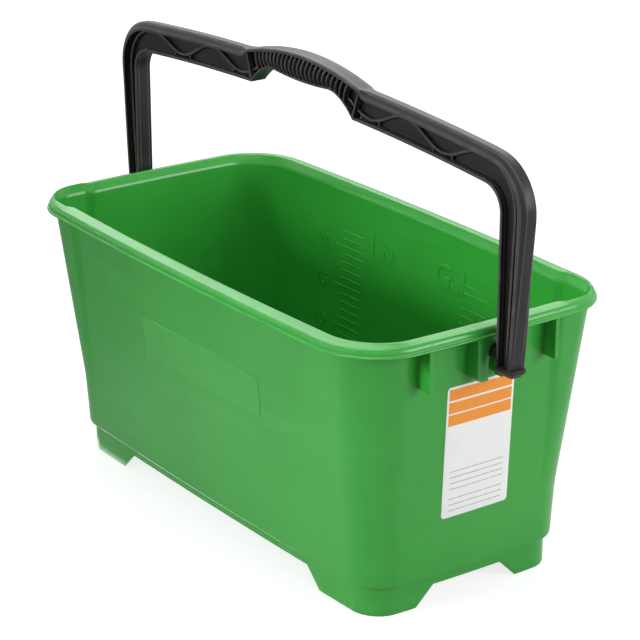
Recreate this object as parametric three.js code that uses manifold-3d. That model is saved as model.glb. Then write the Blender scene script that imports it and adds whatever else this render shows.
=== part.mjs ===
// A long rectangular bucket with two pouring corners, four feet and a ribbed bail handle.
// Millimetres, +Z up. X runs along the length and Y across the width. The origin is on the ground
// under the middle of the floor. Each end of the tub carries a bearing that the handle's pins snap into.

import * as THREE from "three";
import { mergeVertices } from "three/addons/utils/BufferGeometryUtils.js";
import Module from "manifold-3d";

const wasm = await Module();
wasm.setup();

// Tub: sizes at the foot of the wall, and how far the lip overhangs them on the ends and sides.
const baseLength = 500;
const baseWidth = 226.6;
const endOverhang = 28;
const sideOverhang = 36.3;
const rimHeight = 265.4;
const wallThickness = 2.6;
const rimCrownSide = 7;
const rimCrownEnd = 3;
const baseCrownSide = 3.3;
const baseCrownEnd = 3.1;
const rimCornerRadius = 48;
const baseCornerRadius = 32.6;

// Tub: the rim, a sloping flange with a folded lip, above a flared band.
const flangeEndWidth = 13;
const flangeSideWidth = 15.3;
const flangeFall = 2.7;
const flangeThickness = 2.6;
const lipFold = 2.3;
const lipDepth = 10.4;
const beadFlare = 1.8;
const beadHeight = 2.4;
const flareEndWidth = 6.2;
const flareSideWidth = 5.5;
const flareDepth = 7.9;

// Tub: the pouring corners, which bulge into the flange.
const spoutEdgeBulge = 5;
const spoutUnderBulge = 5;
const spoutWallBulge = 5;
const spoutChannelBulge = 1.7;
const spoutEdgeRadius = 37;
const spoutUnderRadius = 38.5;
const spoutWallRadius = 26;
const spoutLipRadius = 57;
const spoutSideStart = 58;
const spoutSideFull = 47;
const spoutEndStart = 55.3;
const spoutEndFull = 43.3;
const spoutFootHeight = 80;

// Tub: how far the wall, the flange's underside and the lip's inside end above the lip's lower edge
// at the tip of a pouring corner.
const spoutWallRise = 0.6;
const spoutUnderRise = 1.7;
const spoutChannelRise = 1.4;

// Tub: the floor and the skirt that leaves four feet.
const creaseHeight = 28.1;
const footRound = 4;
const skirtInset = 5.7;
const skirtDraft = 0.2;
const floorHeight = 27.2;
const floorThickness = 3;
const floorFillet = 5;
const archHeight = 18.2;
const sideArchTop = 295.2;
const sideArchFoot = 333.2;
const endArchTop = 75.8;
const endArchFoot = 113.4;

// Tub: the raised panel in the front wall.
const panelLength = 193;
const panelHeight = 40.5;
const panelBottom = 147;
const panelShift = 4;
const panelRelief = 0.8;
const panelCornerRadius = 4;

// Tub: bearings and stiffening fins under the rim of each end.
const pivotDrop = 25.4;
const faceSetback = 3;
const bossWidth = 38;
const bossDrop = 27.5;
const bossCornerRadius = 4.5;
const finSpacing = 137.4;
const finThickness = 3.8;
const finDrop = 23.5;
const throatBump = 1;
const throatDrop = 4.6;
const throatLength = 5;

// Handle: pins.
const pinDiameter = 13;
const pinClearance = 0.5;
const headDiameter = 20;
const headThickness = 3.2;
const headClearance = 0.6;
const legGap = 10;

// Handle: heights above the pivot, and the section.
const gripRise = 200;
const barRise = 159.2;
const barCamber = 13.3;
const barHeight = 29.8;
const legTopWidth = 31;
const legFootWidth = 18.2;
const outerCornerRadius = 48;
const innerCornerRadius = 22;
const handleDepth = 17;
const bandThickness = 3;
const webThickness = 2.6;
const edgeFlat = 8;
const edgeDrop = 6;
const legEdgeFlat = 11;

// Handle: foot plates.
const footDrop = 8.5;
const footThickness = 7;
const footBevel = 3;
const footBevelHeight = 3.9;
const footWidth = 22;
const footOverhang = 0.5;
const footExtraDepth = 1;

// Handle: grip. Its fins bulge beyond its two bands, most of all in the middle.
const gripTopLength = 176;
const gripEndSlant = 9;
const gripLift = 18.7;
const gripSag = 2.5;
const gripLiftRun = 36.5;
const gripLiftGap = 0.5;
const gripEdgeFlat = 15;
const gripEdgeDrop = 0.8;
const gripBandThickness = 2.4;
const gripEndRun = 8;
const gripFinTopGap = 16;
const gripFinFootGap = 13;
const gripFinThickness = 1.8;
const gripFinDepth = 16;
const gripMiddleBulge = 4.4;
const gripEndBulge = 1.6;

// Handle: the wavy rib along the bar and down the legs, with short ticks beside each bend.
const ribThickness = 2.6;
const ribDepth = 10;
const waveAmplitude = 8.1;
const waveMiddle = 13.4;
const waveCrestSetback = 31;
const tickSpread = 13;
const tickThickness = 2.6;
const endRibThickness = 2.6;

// Label on the wall of one end.
const labelWidth = 73.4;
const labelHeight = 125;
const labelShift = 1.3;
const labelBottom = 84;
const labelCornerRadius = 3.5;
const labelThickness = 0.25;
const labelGap = 0.3;

// Overrun of cutting tools and depth of hidden overlaps between joined pieces.
const overrun = 20;
const embed = 1;

// Steps of the curves.
const cornerSteps = 7;
const sideSteps = 8;
const endSteps = 4;
const footSteps = 4;
const roundSteps = 28;
const arcSteps = 9;
const legSteps = 4;
const barSteps = 8;
const gripSteps = 12;
const finSteps = 6;
const waveSteps = 28;

// Number of thin fins across the grip, and of waves of the rib between the grip and a leg.
const gripFinCount = 23;
const waveCount = 1.814;
// How quickly the drop of the outer band's edges grows up a leg: the power of the share of the way.
const legDropPower = 1.5;

// Shares: where a corner's stations sit on a straight side that is too short for the pouring corner.
const kinkStartShare = 0.96;
const kinkFullShare = 0.985;
// Share of the leg's width where its rib runs, and of the way to the corner where its curve is steered.
const legRibShare = 0.5;
const ribSteerShare = 0.6;

// Derived heights and half sizes.
const lipHalfLength = baseLength / 2 + endOverhang;
const lipHalfWidth = baseWidth / 2 + sideOverhang;
const edgeHalfLength = lipHalfLength - flangeEndWidth;
const edgeHalfWidth = lipHalfWidth - flangeSideWidth;
const wallTopHeight = rimHeight - flareDepth;
const wallFootHeight = creaseHeight + footRound;
const lipBottomHeight = rimHeight - lipDepth;
const wallTopHalfLength = edgeHalfLength - flareEndWidth + wallThickness;
const wallTopHalfWidth = edgeHalfWidth - flareSideWidth + wallThickness;
const wallTopRadius = rimCornerRadius - flareEndWidth + wallThickness;
const pivotHeight = rimHeight - pivotDrop;
const faceX = lipHalfLength - faceSetback;
const legInner = faceX + legGap;
const gripFootLength = gripTopLength - 2 * gripEndSlant;
const gripLiftStart = gripFootLength / 2 + gripLiftGap;
const gripFinTopSpan = gripTopLength - 2 * gripFinTopGap;
const gripFinFootSpan = gripFootLength - 2 * gripFinFootGap;
const waveEnd = (gripFinTopSpan + gripFinFootSpan) / 4;
const lastCrest = legInner - waveCrestSetback;
const waveLength = (lastCrest - waveEnd) / waveCount;

const lerp = THREE.MathUtils.lerp;
const range = (from, to) => Array.from({ length: to - from + 1 }, (_, i) => from + i);

// A closed solid from numbered points and triangles, with its faces turned outwards.
function solidFrom(positions, faces) {
  const vertProperties = new Float32Array(positions);
  const made = (triVerts) => new wasm.Manifold(new wasm.Mesh({ numProp: 3, vertProperties, triVerts }));
  const solid = made(new Uint32Array(faces));
  if (solid.volume() > 0) {
    return solid;
  }
  return made(new Uint32Array(faces.slice().reverse()));
}

// A closed solid from a three.js geometry.
function solidOf(geometry) {
  geometry.deleteAttribute("normal");
  geometry.deleteAttribute("uv");
  const merged = mergeVertices(geometry);
  return solidFrom(Array.from(merged.attributes.position.array), Array.from(merged.index.array));
}

// Triangles that close a flat ring, turning the way that the ring runs.
function capFaces(ring) {
  const normal = new THREE.Vector3();
  ring.forEach((point, i) => {
    normal.add(new THREE.Vector3().crossVectors(point, ring[(i + 1) % ring.length]));
  });
  const turn = new THREE.Quaternion().setFromUnitVectors(normal.normalize(), new THREE.Vector3(0, 0, 1));
  const flat = ring.map((point) => {
    const turned = point.clone().applyQuaternion(turn);
    return new THREE.Vector2(turned.x, turned.y);
  });
  return THREE.ShapeUtils.triangulateShape(flat, []).map((face) => {
    const [a, b, c] = face.map((i) => flat[i]);
    const turnsLeft = (b.x - a.x) * (c.y - a.y) > (b.y - a.y) * (c.x - a.x);
    return turnsLeft ? face : [face[0], face[2], face[1]];
  });
}

// A closed solid through a row of rings that have as many points each.
function loft(rings) {
  const count = rings[0].length;
  const faces = [];
  rings.slice(1).forEach((_, i) => {
    const low = i * count;
    const high = low + count;
    for (let j = 0; j < count; j++) {
      const k = (j + 1) % count;
      faces.push(low + j, low + k, high + k);
      faces.push(low + j, high + k, high + j);
    }
  });
  capFaces(rings[0]).forEach(([a, b, c]) => faces.push(a, c, b));
  const last = (rings.length - 1) * count;
  capFaces(rings[rings.length - 1]).forEach(([a, b, c]) => faces.push(last + a, last + b, last + c));
  return solidFrom(
    rings.flat().flatMap((point) => [point.x, point.y, point.z]),
    faces,
  );
}

// An outline of [u, v] points pushed from one distance to another along X, with u = Y and v = Z.
function alongX(points, from, to) {
  const shape = new THREE.Shape(points.map(([u, v]) => new THREE.Vector2(u, v)));
  const geometry = new THREE.ExtrudeGeometry(shape, { depth: to - from, bevelEnabled: false });
  const frame = new THREE.Matrix4().makeBasis(
    new THREE.Vector3(0, 1, 0),
    new THREE.Vector3(0, 0, 1),
    new THREE.Vector3(1, 0, 0),
  );
  return solidOf(geometry.applyMatrix4(frame).translate(from, 0, 0));
}

// An outline of [u, v] points pushed from one distance to another along Y, with u = X and v = Z.
function alongY(points, from, to) {
  const shape = new THREE.Shape(points.map(([u, v]) => new THREE.Vector2(u, v)));
  const geometry = new THREE.ExtrudeGeometry(shape, { depth: to - from, bevelEnabled: false });
  return solidOf(geometry.rotateX(Math.PI / 2).translate(0, to, 0));
}

// Points of an arc about a centre.
function arc(centreU, centreV, radius, fromAngle, toAngle, steps) {
  return Array.from({ length: steps + 1 }, (_, i) => {
    const angle = lerp(fromAngle, toAngle, i / steps);
    return [centreU + radius * Math.cos(angle), centreV + radius * Math.sin(angle)];
  });
}

// A rectangle with round corners, between two corners.
function roundedRectangle(u0, v0, u1, v1, radius, steps) {
  const quarter = Math.PI / 2;
  return [
    ...arc(u1 - radius, v0 + radius, radius, -quarter, 0, steps),
    ...arc(u1 - radius, v1 - radius, radius, 0, quarter, steps),
    ...arc(u0 + radius, v1 - radius, radius, quarter, 2 * quarter, steps),
    ...arc(u0 + radius, v0 + radius, radius, 2 * quarter, 3 * quarter, steps),
  ];
}

// One quarter of a ring of the tub, from the long side round to the end. A pouring corner steps out
// over a short run on both sides, and its arc can run to another height at its middle.
function quarterRing(ring, pouring) {
  const bulge = pouring ? ring.bulge : 0;
  const radius = pouring ? ring.spoutRadius : ring.radius;
  const outX = ring.halfLength + bulge;
  const outY = ring.halfWidth + bulge;
  const straightX = outX - radius;
  const straightY = outY - radius;
  const points = [];
  const flat = (x, y) => [x, y, ring.z];
  points.push(flat(Math.min(edgeHalfLength - spoutSideStart, straightX * kinkStartShare), ring.halfWidth));
  points.push(flat(Math.min(edgeHalfLength - spoutSideFull, straightX * kinkFullShare), outY));
  arc(straightX, straightY, radius, Math.PI / 2, 0, cornerSteps).forEach(([x, y], i) => {
    const tipShare = Math.sin((Math.PI * i) / cornerSteps);
    const tipHeight = pouring ? ring.spoutZ ?? ring.z : ring.z;
    points.push([x, y, lerp(ring.z, tipHeight, tipShare)]);
  });
  points.push(flat(outX, Math.min(edgeHalfWidth - spoutEndFull, straightY * kinkFullShare)));
  points.push(flat(ring.halfLength, Math.min(edgeHalfWidth - spoutEndStart, straightY * kinkStartShare)));
  return points;
}

// A closed ring of the tub. Its sides are crowned: they bow out between the corners.
function tubRing(ring) {
  const pouring = quarterRing(ring, true);
  const plain = quarterRing(ring, false);
  const quarters = [
    pouring.map(([x, y, z]) => [x, y, z]).reverse(),
    plain.map(([x, y, z]) => [-x, y, z]),
    pouring.map(([x, y, z]) => [-x, -y, z]).reverse(),
    plain.map(([x, y, z]) => [x, -y, z]),
  ];
  const points = [];
  quarters.forEach((quarter, q) => {
    points.push(...quarter);
    const from = quarter[quarter.length - 1];
    const to = quarters[(q + 1) % quarters.length][0];
    const steps = q % 2 ? endSteps : sideSteps;
    for (let i = 1; i < steps; i++) {
      points.push([lerp(from[0], to[0], i / steps), lerp(from[1], to[1], i / steps), ring.z]);
    }
  });
  return points.map(([x, y, z]) => {
    const alongShare = x / ring.halfLength;
    const acrossShare = y / ring.halfWidth;
    const drawnX = x - Math.sign(x) * ring.crownEnd * acrossShare * acrossShare * Math.abs(alongShare);
    const drawnY = y - Math.sign(y) * ring.crownSide * alongShare * alongShare * Math.abs(acrossShare);
    return new THREE.Vector3(drawnX, drawnY, z);
  });
}

// A ring of the rim, set in from the lip's outer edge by amounts of its own on the ends and sides.
function rimRing(insetEnd, insetSide, drop, bulge, spoutRadius, spoutZ) {
  return tubRing({
    halfLength: lipHalfLength - insetEnd,
    halfWidth: lipHalfWidth - insetSide,
    z: rimHeight - drop,
    radius: rimCornerRadius + flangeEndWidth - insetEnd,
    spoutRadius,
    spoutZ,
    bulge,
    crownSide: rimCrownSide,
    crownEnd: rimCrownEnd,
  });
}

// The outer wall's half sizes, radii and crown at a height, moved out by an offset.
function wallAt(z, offset) {
  const share = (z - wallFootHeight) / (wallTopHeight - wallFootHeight);
  const spoutShare = Math.max(0, (z - spoutFootHeight) / (wallTopHeight - spoutFootHeight));
  const footShare = (Math.min(z, spoutFootHeight) - wallFootHeight) / (wallTopHeight - wallFootHeight);
  const footRadius = lerp(baseCornerRadius, wallTopRadius, footShare);
  return {
    halfLength: lerp(baseLength / 2, wallTopHalfLength, share) + offset,
    halfWidth: lerp(baseWidth / 2, wallTopHalfWidth, share) + offset,
    z,
    radius: lerp(baseCornerRadius, wallTopRadius, share) + offset,
    spoutRadius: lerp(footRadius, spoutWallRadius, spoutShare) + offset,
    bulge: spoutWallBulge * spoutShare,
    crownSide: lerp(baseCrownSide, rimCrownSide, share),
    crownEnd: lerp(baseCrownEnd, rimCrownEnd, share),
  };
}

// A ring of the foot, set in from the foot of the wall.
function footRing(inset, z) {
  return tubRing({ ...wallAt(wallFootHeight, -inset), z });
}

// A ring of the inner floor, set in from the inner wall at its height.
function floorRing(inset, z) {
  return tubRing(wallAt(z, -wallThickness - inset));
}

// A solid that fills the outer wall, moved out by an offset, from its foot to the flare.
function wallBlock(offset) {
  return loft([
    tubRing(wallAt(wallFootHeight, offset)),
    tubRing(wallAt(spoutFootHeight, offset)),
    tubRing(wallAt(wallTopHeight, offset)),
  ]);
}

// The space inside the tub, grown by half of the wall. Pieces outside are trimmed to it, so that they
// end inside the wall.
function coreBlock() {
  const half = wallThickness / 2;
  const flareTop = tubRing({
    ...wallAt(wallTopHeight, 0),
    halfLength: edgeHalfLength,
    halfWidth: edgeHalfWidth,
    z: rimHeight - flangeThickness / 2,
    radius: rimCornerRadius,
    crownSide: rimCrownSide,
    crownEnd: rimCrownEnd,
  });
  return loft([
    tubRing(wallAt(wallFootHeight, -half)),
    tubRing(wallAt(spoutFootHeight, -half)),
    tubRing(wallAt(wallTopHeight, -half)),
    flareTop,
    flareTop.map((point) => new THREE.Vector3(point.x, point.y, rimHeight + overrun)),
  ]);
}

// The round between the wall and the skirt, from below upwards.
function footRoundRings() {
  return range(0, footSteps).map((i) => {
    const angle = ((Math.PI / 2) * i) / footSteps;
    return footRing(footRound * (1 - Math.sin(angle)), wallFootHeight - footRound * Math.cos(angle));
  });
}

// The moulded shell: feet, wall, rim, inner wall and floor in one closed surface.
function shell() {
  const floorTop = floorHeight + floorThickness;
  const floorTurn = floorFillet * (1 - Math.SQRT1_2);
  const lipRadius = (inset) => spoutLipRadius - inset;
  return loft([
    footRing(skirtInset + wallThickness, floorHeight),
    footRing(skirtInset + wallThickness + skirtDraft, 0),
    footRing(skirtInset + skirtDraft, 0),
    footRing(skirtInset, creaseHeight),
    ...footRoundRings(),
    tubRing(wallAt(spoutFootHeight, 0)),
    tubRing({ ...wallAt(wallTopHeight, 0), spoutZ: lipBottomHeight + spoutWallRise }),
    rimRing(
      flangeEndWidth - embed,
      flangeSideWidth - embed,
      flangeThickness + flangeFall * (embed / flangeEndWidth),
      spoutUnderBulge,
      spoutUnderRadius,
      lipBottomHeight + spoutUnderRise,
    ),
    rimRing(
      lipFold + flangeThickness,
      lipFold + flangeThickness,
      flangeFall + flangeThickness,
      spoutChannelBulge,
      lipRadius(lipFold + flangeThickness),
      lipBottomHeight + spoutChannelRise,
    ),
    rimRing(flangeThickness, flangeThickness, lipDepth, 0, lipRadius(flangeThickness)),
    rimRing(0, 0, lipDepth, 0, lipRadius(0)),
    rimRing(0, 0, lipDepth - beadHeight / 2, 0, lipRadius(0)),
    rimRing(beadFlare, beadFlare, lipDepth - beadHeight, 0, lipRadius(beadFlare)),
    rimRing(lipFold, lipFold, flangeFall, 0, lipRadius(lipFold)),
    rimRing(flangeEndWidth, flangeSideWidth, 0, spoutEdgeBulge, spoutEdgeRadius),
    tubRing(wallAt(wallTopHeight, -wallThickness)),
    tubRing(wallAt(spoutFootHeight, -wallThickness)),
    floorRing(0, floorTop + floorFillet),
    floorRing(floorTurn, floorTop + floorTurn),
    floorRing(floorFillet, floorTop),
  ]);
}

// The side view of what hangs under the flange at an end: from inside the wall out to the bearing's
// face, and up into the middle of the flange.
function underRimProfile(bottom) {
  const fallShare = (edgeHalfLength - faceX) / flangeEndWidth;
  const topInner = rimHeight - flangeThickness / 2;
  const topOuter = topInner + flangeFall * fallShare;
  return [
    [baseLength / 2 - overrun, bottom],
    [faceX, bottom],
    [faceX, topOuter],
    [edgeHalfLength, topInner],
    [baseLength / 2 - overrun, topInner],
  ];
}

// A stiffening fin under the rim, standing at a distance from the middle of the end.
function endFin(y) {
  const profile = underRimProfile(pivotHeight - finDrop);
  return alongY(profile, y - finThickness / 2, y + finThickness / 2);
}

// An upside-down slot: straight sides open at the bottom, and a round seat about the pivot.
function seatOutline(radius) {
  const bottom = pivotHeight - bossDrop - overrun;
  return [[-radius, bottom], [radius, bottom], ...arc(0, pivotHeight, radius, 0, Math.PI, roundSteps / 2)];
}

// Half of the pin's head room, along X from inside the wall.
const headRoomRadius = headDiameter / 2 + pinClearance;
const headBack = wallAt(pivotHeight + headRoomRadius, headClearance).halfLength;
const headFront = headBack + headThickness;
const gateBack = headFront + headClearance;

// A bearing: a block with a slot that the pin snaps up into, wider behind for the pin's head.
function bearing(wall) {
  const bottom = pivotHeight - bossDrop;
  const half = bossWidth / 2;
  const cornerU = half - bossCornerRadius;
  const cornerV = bottom + bossCornerRadius;
  const front = [
    ...arc(cornerU, cornerV, bossCornerRadius, -Math.PI / 2, 0, cornerSteps),
    [half, rimHeight],
    [-half, rimHeight],
    ...arc(-cornerU, cornerV, bossCornerRadius, -Math.PI, -Math.PI / 2, cornerSteps),
  ];
  const block = alongY(underRimProfile(bottom), -half, half).intersect(
    alongX(front, baseLength / 2 - overrun, faceX + overrun),
  );
  const seatRadius = pinDiameter / 2 + pinClearance;
  const gate = alongX(seatOutline(seatRadius), gateBack - embed, faceX + overrun);
  const headRoom = alongX(seatOutline(headRoomRadius), baseLength / 2 - overrun, gateBack).subtract(wall);
  const cut = block.subtract(gate).subtract(headRoom);
  const bump = (side) => {
    const top = pivotHeight - throatDrop;
    const outline = [
      [side * (seatRadius + embed), top + embed + throatBump],
      [side * (seatRadius - throatBump), top],
      [side * (seatRadius + embed), top - throatLength],
    ];
    return alongX(side > 0 ? outline : outline.reverse(), gateBack, faceX);
  };
  return cut.add(bump(1)).add(bump(-1));
}

// The same solid on the other end, turned half round about Z.
function turned(solid) {
  return solid.rotate([0, 0, 180]);
}

// The tub in one piece.
function tub() {
  const wall = wallBlock(0);
  const finY = finSpacing / 2;
  const panel = alongY(
    roundedRectangle(
      panelShift - panelLength / 2,
      panelBottom,
      panelShift + panelLength / 2,
      panelBottom + panelHeight,
      panelCornerRadius,
      cornerSteps,
    ),
    -lipHalfWidth - overrun,
    0,
  ).intersect(wallBlock(panelRelief));
  const endPieces = bearing(wall).add(endFin(finY)).add(endFin(-finY));
  const sideArch = [
    [-sideArchFoot / 2, 0],
    [sideArchFoot / 2, 0],
    [sideArchTop / 2, archHeight],
    [-sideArchTop / 2, archHeight],
  ];
  const endArch = [
    [-endArchFoot / 2, 0],
    [endArchFoot / 2, 0],
    [endArchTop / 2, archHeight],
    [-endArchTop / 2, archHeight],
  ];
  const opened = (outline) => {
    const spread = (outline[1][0] - outline[2][0]) / archHeight;
    const below = outline[1][0] + spread * overrun;
    return [[-below, -overrun], [below, -overrun], outline[2], outline[3]];
  };
  return shell()
    .add(endPieces.add(turned(endPieces)).add(panel).subtract(coreBlock()))
    .subtract(alongY(opened(sideArch), -lipHalfWidth, lipHalfWidth))
    .subtract(alongX(opened(endArch), -lipHalfLength, lipHalfLength));
}

// Label: a thin sheet that follows the wall of the end at a small gap.
function label() {
  const outline = roundedRectangle(
    -labelShift - labelWidth / 2,
    labelBottom,
    -labelShift + labelWidth / 2,
    labelBottom + labelHeight,
    labelCornerRadius,
    cornerSteps,
  );
  return alongX(outline, 0, lipHalfLength + overrun)
    .intersect(wallBlock(labelGap + labelThickness))
    .subtract(wallBlock(labelGap));
}

// Heights of the bar's lower and upper edges and of the grip, at a distance along X.
function barLow(x) {
  return pivotHeight + barRise - barCamber * (x / legInner) ** 2;
}
function barHigh(x) {
  return barLow(x) + barHeight;
}
function gripLow(x) {
  const crestX = gripLiftStart - gripLiftRun;
  const fallShare = THREE.MathUtils.clamp((Math.abs(x) - crestX) / gripLiftRun, 0, 1);
  const sagShare = Math.max(0, 1 - (x / crestX) ** 2);
  return barLow(x) + gripLift * (1 - fallShare ** 2) - gripSag * sagShare;
}
function gripHigh(x) {
  const half = gripTopLength / 2;
  const crest = pivotHeight + gripRise;
  return crest - (crest - barHigh(half)) * (x / half) ** 2;
}

// The centre and end angles of an arc that turns from the bar, at its slope, into the leg's face.
function cornerArc(radius, barEdge, legX, legSlope) {
  const slope = (-2 * barCamber * (legX - radius)) / legInner ** 2;
  const barAngle = Math.atan(slope);
  const legAngle = Math.atan(legSlope);
  const corner = { x: legX, z: barEdge(legX) };
  const turn = Math.PI / 2 + barAngle + legAngle;
  const reach = radius / Math.tan((Math.PI - turn) / 2);
  const centreX = corner.x - reach * Math.cos(barAngle) - radius * Math.cos(Math.PI / 2 + barAngle);
  const centreZ = corner.z - reach * Math.sin(barAngle) - radius * Math.sin(Math.PI / 2 + barAngle);
  return { centreX, centreZ, radius, from: -legAngle, to: Math.PI / 2 + barAngle };
}

const footTop = pivotHeight - footDrop;
const legRise = barHigh(legInner) - outerCornerRadius - footTop;
const legSlope = (legTopWidth - legFootWidth) / legRise;
const outerTopX = legInner + legFootWidth + legSlope * (barHigh(legInner) - footTop);
const outerArc = cornerArc(outerCornerRadius, barHigh, outerTopX, legSlope);
const innerArc = cornerArc(innerCornerRadius, barLow, legInner, 0);

function onArc(curve, share) {
  const angle = lerp(curve.from, curve.to, share);
  const x = curve.centreX + curve.radius * Math.cos(angle);
  const z = curve.centreZ + curve.radius * Math.sin(angle);
  return new THREE.Vector3(x, 0, z);
}

// Stations of one half of the handle, by stretch and share of it. Each is an inner and an outer point,
// with the drop and the flat width of the outer band there.
function legStation(share) {
  const foot = new THREE.Vector3(legInner, 0, footTop - embed);
  const outerFoot = new THREE.Vector3(legInner + legFootWidth - legSlope * embed, 0, footTop - embed);
  return {
    inner: foot.lerp(onArc(innerArc, 0), share),
    outer: outerFoot.lerp(onArc(outerArc, 0), share),
    drop: edgeDrop * share ** legDropPower,
    flat: legEdgeFlat,
  };
}
function cornerStation(share) {
  const flat = lerp(legEdgeFlat, edgeFlat, share);
  return { inner: onArc(innerArc, share), outer: onArc(outerArc, share), drop: edgeDrop, flat };
}
function barStation(share) {
  const innerX = lerp(onArc(innerArc, 1).x, gripLiftStart, share);
  const outerX = lerp(onArc(outerArc, 1).x, gripTopLength / 2, share);
  return {
    inner: new THREE.Vector3(innerX, 0, barLow(innerX)),
    outer: new THREE.Vector3(outerX, 0, barHigh(outerX)),
    drop: edgeDrop,
    flat: edgeFlat,
  };
}
function gripStation(share) {
  const innerX = lerp(gripLiftStart, 0, share);
  const outerX = lerp(gripTopLength / 2, 0, share);
  return {
    inner: new THREE.Vector3(innerX, 0, gripLow(innerX)),
    outer: new THREE.Vector3(outerX, 0, gripHigh(outerX)),
    drop: edgeDrop,
    flat: edgeFlat,
  };
}

// Both halves of a row of stations that runs from the foot of one leg to the middle.
function bothHalves(stations) {
  const mirrored = stations.map((at) => ({
    ...at,
    inner: new THREE.Vector3(-at.inner.x, at.inner.y, at.inner.z),
    outer: new THREE.Vector3(-at.outer.x, at.outer.y, at.outer.z),
  }));
  const joined = stations[stations.length - 1].inner.x === 0;
  return [...stations, ...mirrored.reverse().slice(joined ? 1 : 0)];
}

const bodyStations = bothHalves([
  ...range(0, legSteps - 1).map((i) => legStation(i / legSteps)),
  ...range(0, arcSteps).map((i) => cornerStation(i / arcSteps)),
  ...range(1, barSteps).map((i) => barStation(i / barSteps)),
  ...range(1, gripSteps).map((i) => gripStation(i / gripSteps)),
]);

// The handle's section at a station: an inner band, a thin web and an outer band with sloping edges,
// which are flatter down the legs and, on a thinner band, along the grip. Each point is [distance out
// from the inner edge, depth].
function section({ inner, outer, ...band }) {
  const gripEnd = gripTopLength / 2;
  const height = inner.distanceTo(outer);
  const gripShare = 1 - THREE.MathUtils.smoothstep(Math.abs(outer.x), gripEnd, gripEnd + gripEndRun);
  const drop = lerp(band.drop, gripEdgeDrop, gripShare);
  const thickness = lerp(bandThickness, gripBandThickness, gripShare);
  const half = handleDepth / 2;
  const web = webThickness / 2;
  const flat = lerp(band.flat, gripEdgeFlat, gripShare) / 2;
  const under = height - lerp(bandThickness + web, gripEdgeDrop + gripBandThickness, gripShare);
  const side = [
    [0, half],
    [thickness, half],
    [thickness, web],
    [under, web],
    [under, flat - web],
    [height - drop - thickness, half],
    [height - drop, half],
    [height, flat],
  ];
  return [...side, ...side.map(([u, v]) => [u, -v]).reverse()];
}

function place({ inner, outer }, u, v) {
  const out = new THREE.Vector3().subVectors(outer, inner).normalize();
  return new THREE.Vector3(inner.x, v, inner.z).addScaledVector(out, u);
}

// The height of the wavy rib above the bar's lower edge.
function waveHeight(x) {
  return waveMiddle + waveAmplitude * Math.cos((2 * Math.PI * (x - lastCrest)) / waveLength);
}

// The middle of the wavy rib, from the foot of a leg to the first grip fin.
function ribPath() {
  const crest = new THREE.Vector3(lastCrest, 0, barLow(lastCrest) + waveHeight(lastCrest));
  const legPoint = ({ inner, outer }) => new THREE.Vector3().lerpVectors(inner, outer, legRibShare);
  const foot = legPoint(legStation(0));
  const shoulder = legPoint(legStation(1));
  const turn = new THREE.Vector3(shoulder.x, 0, crest.z);
  const curve = new THREE.CubicBezierCurve3(
    shoulder,
    shoulder.clone().lerp(turn, ribSteerShare),
    crest.clone().lerp(turn, ribSteerShare),
    crest,
  );
  const wave = range(1, waveSteps).map((i) => {
    const x = lerp(lastCrest, waveEnd, i / waveSteps);
    return new THREE.Vector3(x, 0, barLow(x) + waveHeight(x));
  });
  return [foot, ...curve.getPoints(arcSteps), ...wave];
}

// A flat bar of one thickness along a path in the handle's plane. Its depth can be a number, or a
// function of the share of the path.
function ribAlong(path, thickness, depth) {
  const depthAt = typeof depth === "number" ? () => depth : depth;
  const rings = path.map((point, i) => {
    const halfDepth = depthAt(i / (path.length - 1)) / 2;
    const before = path[Math.max(0, i - 1)];
    const after = path[Math.min(path.length - 1, i + 1)];
    const side = new THREE.Vector3(before.z - after.z, 0, after.x - before.x).normalize();
    const corner = (across, y) => point.clone().addScaledVector(side, across).setY(y);
    return [
      corner(-thickness / 2, -halfDepth),
      corner(thickness / 2, -halfDepth),
      corner(thickness / 2, halfDepth),
      corner(-thickness / 2, halfDepth),
    ];
  });
  return loft(rings);
}

function inPlane(x, z) {
  return new THREE.Vector3(x, 0, z);
}

// Short ticks on both sides of each bend of the wave, to the nearer edge of the bar.
function ticks() {
  const made = [];
  range(0, 3).forEach((bend) => {
    const middle = lastCrest - (bend * waveLength) / 2;
    [-tickSpread, tickSpread].forEach((spread) => {
      const x = middle + spread;
      const rib = barLow(x) + waveHeight(x);
      const edge = bend % 2 ? barLow(x) + bandThickness / 2 : barHigh(x) - bandThickness - webThickness / 2;
      made.push(ribAlong([inPlane(x, rib), inPlane(x, edge)], tickThickness, ribDepth - embed));
    });
  });
  return made;
}

// Thin fins across the grip, fanned about its middle, with bulging outer edges.
function gripFins() {
  return range(0, gripFinCount - 1).map((i) => {
    const share = (2 * i) / (gripFinCount - 1) - 1;
    const topX = (share * gripFinTopSpan) / 2;
    const footX = (share * gripFinFootSpan) / 2;
    const foot = inPlane(footX, gripLow(footX) + gripBandThickness / 2);
    const top = inPlane(topX, gripHigh(topX) - gripEdgeDrop - gripBandThickness / 2);
    const path = range(0, finSteps).map((k) => foot.clone().lerp(top, k / finSteps));
    const bulge = lerp(gripMiddleBulge, gripEndBulge, share * share);
    return ribAlong(path, gripFinThickness, (along) => gripFinDepth + 2 * bulge * Math.sin(Math.PI * along));
  });
}

// The sloping rib that closes the grip.
function endRib() {
  const footX = gripFootLength / 2;
  const topX = gripTopLength / 2;
  const foot = inPlane(footX, gripLow(footX) + gripBandThickness / 2);
  const top = inPlane(topX, gripHigh(topX) - gripEdgeDrop - gripBandThickness / 2);
  return ribAlong([foot, top], endRibThickness, handleDepth - embed);
}

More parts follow.
